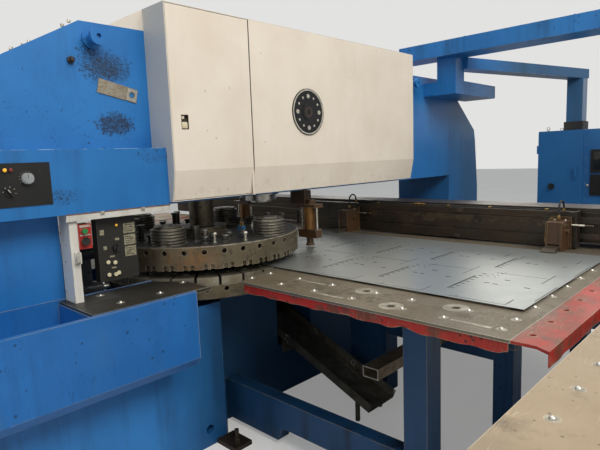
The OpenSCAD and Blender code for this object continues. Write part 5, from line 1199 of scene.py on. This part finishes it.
lathe(work, BIT, (*BIT_AT, TURRET_TOP), "z", 16)
piece("pale_bit", work, pale_enamel, "upper_turret")

# Workholders: bright stop rod, thin copper pipe curled down the side, black knob and gauge
# port, and socket screws in the block's top.
STOP_ROD = ((0.058, 0.0), (0.058, 0.0068), (0.128, 0.0068), (0.1305, 0.005), (0.1305, 0.0))
SOCKET_SCREW = (
    (0.0, 0.0065), (0.00525, 0.0065), (0.007, 0.00559), (0.007, 0.00325), (0.0035, 0.002925),
    (0.0035, 0.0),
)
KNOB = (
    (-0.0455, 0.0), (-0.0455, 0.006), (-0.052, 0.006), (-0.053, 0.0115), (-0.064, 0.0115),
    (-0.066, 0.009), (-0.066, 0.0),
)
GAUGE_PORT = ((-0.0455, 0.0), (-0.0455, 0.008), (-0.056, 0.008), (-0.057, 0.005), (-0.057, 0.0))
COPPER_ROUTE = (
    (-0.012, 0.876, 1.126), (-0.045, 0.87, 1.136), (-0.066, 0.86, 1.08), (-0.07, 0.852, 1.02),
    (-0.058, 0.83, 0.985), (-0.046, 0.82, 0.975),
)
COPPER_RADIUS, COPPER_BEND = 0.0018, 0.014
ROD_AT, SCREWS_AT, SCREW_SPREAD = (0.926, 1.09), (0.906, 1.118), 0.03
KNOB_AT, GAUGE_AT = (0.88, 0.997), (0.885, 1.075)
for side, x in HOLDERS:
    work = bmesh.new()
    lathe(work, STOP_ROD, (x, *ROD_AT), "x", 14)
    for screw_x in (x - SCREW_SPREAD, x + SCREW_SPREAD):
        lathe(work, SOCKET_SCREW, (screw_x, *SCREWS_AT), "z", 12)
    piece(f"holder_rod_{side}", work, rod_steel, "cross_carriage")
    work = bmesh.new()
    route = bent([(x + out, y, z) for out, y, z in COPPER_ROUTE], COPPER_BEND)
    swept(work, route, COPPER_RADIUS, 8)
    piece(f"copper_pipe_{side}", work, fitting_brass, "cross_carriage")
    work = bmesh.new()
    lathe(work, KNOB, (x, *KNOB_AT), "x", 18)
    lathe(work, GAUGE_PORT, (x, *GAUGE_AT), "x", 14)
    piece(f"holder_knob_{side}", work, black_ink, "cross_carriage")

# Carriage beam: dark limit dogs screwed to its face, a plate on its top, and plugs in its
# threaded holes.
BEAM_FACE, DOG_FACE = 0.9398, 0.933
SCREW_RADIUS, PLUG_RADIUS = 0.0055, 0.009
work = bmesh.new()
for low, high in (
    ((0.985, DOG_FACE, 1.134), (1.030, BEAM_FACE, 1.164)),
    ((0.962, DOG_FACE, 0.957), (1.004, BEAM_FACE, 0.980)),
    ((1.60, 0.945, 1.1655), (1.70, 0.985, 1.1695)),
):
    block(work, low, high, 0.001)
for x, z in ((0.997, 1.149), (1.018, 1.149), (0.973, 0.9685), (0.993, 0.9685)):
    plain_rod(work, 0.0, -0.003, SCREW_RADIUS, (x, DOG_FACE, z), "y", 10)
for x, z in ((1.269, 1.054), (1.411, 1.057), (0.62, 1.056), (0.2, 1.056), (-0.3, 1.056)):
    plain_rod(work, 0.0, -0.002, PLUG_RADIUS, (x, BEAM_FACE, z), "y", 14)
piece("beam_dogs", work, rusty_bolt, "cross_carriage")

# Cabinet's front: dark glass in the screen's recess, and two zinc-plated locks with round
# key holes in the door's free side.
glass = Finish("dark screen glass", rgb(18, 24, 28), 0.12, coat=0.6)
glass.over("cloudy patches", rgb(36, 42, 46), 0.25, share=0.6, scale=12.0, low=0.45, high=0.7)
RIM, GLASS_LOW, GLASS_HIGH = 0.026, 1.316, 1.494
screen_low, screen_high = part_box("console_screen")
work = bmesh.new()
block(
    work, (screen_low[0] + RIM, screen_low[1] + 0.0035, GLASS_LOW),
    (screen_high[0] - RIM, screen_low[1] + 0.0055, GLASS_HIGH), 0.0005,
)
piece("screen_glass", work, glass.done(), "frame")
LOCK = (
    (-0.001, 0.0), (-0.001, 0.012), (-0.006, 0.012), (-0.008, 0.009), (-0.008, 0.003),
    (-0.005, 0.003), (-0.005, 0.0),
)
LOCK_X, DOOR_FACE, LOCK_HEIGHTS = 1.145, 3.42, (0.62, 1.16)
work = bmesh.new()
for z in LOCK_HEIGHTS:
    lathe(work, LOCK, (LOCK_X, DOOR_FACE, z), "y", 18)
piece("cabinet_locks", work, screw_zinc, "frame")

# Air line on the beam: thin rubber-covered line clipped along its top between the two hose
# collars, with a brass quick coupling in it.
BEAM_TOP, LINE_Y, LINE_RADIUS, LINE_START, LINE_STEP = 1.166, 0.973, 0.0048, 1.648, 0.0322
LINE_CLIPS, CLIP_WIDE, CLIP_DEEP, CLIP_TALL = (1.56, 1.2, 0.9, 0.3), 0.018, 0.022, 0.0125
COUPLING_AT = (0.62, LINE_Y, BEAM_TOP + 0.0088)
COUPLING = (
    (0.0, 0.0), (0.0, 0.0058), (0.012, 0.0058), (0.013, 0.0078), (0.030, 0.0078),
    (0.031, 0.0088), (0.052, 0.0088), (0.053, 0.0072), (0.068, 0.0072), (0.070, 0.0086),
    (0.082, 0.0086), (0.083, 0.0058), (0.094, 0.0058), (0.094, 0.0),
)
route = []
for k in range(49):
    y = LINE_Y + 0.002 * math.sin(k * 0.7)
    z = BEAM_TOP + 0.0055 + 0.0015 * math.sin(k * 0.9) ** 2
    route.append((LINE_START - LINE_STEP * k, y, z))
work = bmesh.new()
swept(work, route, LINE_RADIUS, 10)
piece("air_line", work, rubber_black, "cross_carriage")
work = bmesh.new()
lathe(work, COUPLING, COUPLING_AT, "x", 12)
for x in LINE_CLIPS:
    low = (x - CLIP_WIDE / 2, LINE_Y - CLIP_DEEP / 2, BEAM_TOP)
    high = (x + CLIP_WIDE / 2, LINE_Y + CLIP_DEEP / 2, BEAM_TOP + CLIP_TALL)
    block(work, low, high, 0.001)
piece("line_fittings", work, fitting_brass, "cross_carriage")

# Catch on the guard post: a white painted steel tab, held by one small screw near its upper
# end.
POST_FACE, CATCH_FACE, CATCH_PLATE = 0.4162, 0.4215, (-1.464, 1.128, -1.449, 1.168)
CATCH_SCREW = ((0.0, 0.0035), (0.0014, 0.003), (0.0016, 0.0))
work = bmesh.new()
slab(work, oblong(*CATCH_PLATE), POST_FACE, CATCH_FACE, on_side, 0.001)
lathe(work, CATCH_SCREW, (CATCH_FACE, -1.4565, 1.158), "x", 10)
piece("post_catch", work, pale_enamel, "frame")


# Covers at the back of the column: two blue plates, each held by eight dome screws round its
# rim.
def on_back(x, z, y):
    """A point of an outline that is drawn on the machine's back."""
    return Vector((x, y, z))


BACK, COVER_FACE, COVER_HALF, SCREW_IN = 2.7645, 2.7695, 0.19, 0.02
COVER_SCREW = ((0.0, 0.009), (0.003, 0.008), (0.005, 0.0))
work, screws = bmesh.new(), bmesh.new()
for low, high in ((0.35, 0.85), (0.93, 1.33)):
    slab(work, oblong(-COVER_HALF, low, COVER_HALF, high), BACK, COVER_FACE, on_back, 0.0015)
    middle = (low + high) / 2
    for x in (SCREW_IN - COVER_HALF, 0.0, COVER_HALF - SCREW_IN):
        for z in (low + SCREW_IN, middle, high - SCREW_IN):
            if x or z != middle:
                lathe(screws, COVER_SCREW, (x, COVER_FACE, z), "y", 12)
piece("column_covers", work, frame_blue, "frame")


# Hood's rear end and far side: pressed louvres over the motor, and dome screws along the
# seams of the far side.
def louvre(u, v, half, tall, taper):
    """Outline of one louvre, from the middle of its lower edge, narrower at the top."""
    upper_edge = [(u + half - taper, v + tall), (u - half + taper, v + tall)]
    return [(u - half, v), (u + half, v), *upper_edge]


REAR, LOUVRE_FACE, FIRST_LOUVRE, LOUVRE_PITCH = 1.2145, 1.2225, 1.62, 0.045
LOUVRE_HALF, LOUVRE_TALL, LOUVRE_TAPER = 0.09, 0.020, 0.006
FAR_SIDE, FIRST_SCREW, SCREW_PITCH = -0.47, -1.1, 0.272
SEAM_SCREW = ((0.0, 0.0075), (-0.003, 0.0065), (-0.0045, 0.0))
work = bmesh.new()
for k in range(9):
    z = FIRST_LOUVRE + LOUVRE_PITCH * k
    for x in (-0.24, 0.22):
        outline = louvre(x, z, LOUVRE_HALF, LOUVRE_TALL, LOUVRE_TAPER)
        slab(work, outline, REAR, LOUVRE_FACE, on_back, 0.004)
piece("hood_louvres", work, hood_cream, "frame")
for k in range(9):
    for z in (1.40, 2.25):
        lathe(screws, SEAM_SCREW, (FAR_SIDE, FIRST_SCREW + SCREW_PITCH * k, z), "x", 12)
piece("cover_screws", screws, screw_zinc, "frame")

# Cabinet's side and top: pressed louvres high on its right side, and four lifting eyes, each
# a ring on a round foot.
SIDE_WALL, SIDE_LOUVRE = 1.8595, 1.8665
SIDE_CENTRE, SIDE_HALF, SIDE_TALL, SIDE_TAPER = 3.72, 0.16, 0.017, 0.008
FIRST_SIDE, SIDE_PITCH = 1.30, 0.036
CABINET_TOP, EYE_CENTRE, EYE_RADIUS, EYE_WIRE = 1.725, 1.7525, 0.015, 0.0042
EYE_FOOT = (
    (0.0, 0.0), (0.0, 0.016), (0.005, 0.016), (0.006, 0.008), (0.013, 0.008), (0.013, 0.0)
)
work = bmesh.new()
for k in range(8):
    outline = louvre(SIDE_CENTRE, FIRST_SIDE + SIDE_PITCH * k, SIDE_HALF, SIDE_TALL, SIDE_TAPER)
    slab(work, outline, SIDE_WALL, SIDE_LOUVRE, on_side, 0.0035)
piece("cabinet_louvres", work, shaded_cabinet_blue, "frame")
work = bmesh.new()
for x in (0.73, 1.79):
    for y in (3.5, 3.94):
        lathe(work, EYE_FOOT, (x, y, CABINET_TOP), "z", 16)
        ring = [(dx, y, z) for dx, z in circle(x, EYE_CENTRE, EYE_RADIUS, 24)]
        swept(work, ring + ring[:1], EYE_WIRE, 8)
piece("lifting_eyes", work, screw_zinc, "frame")
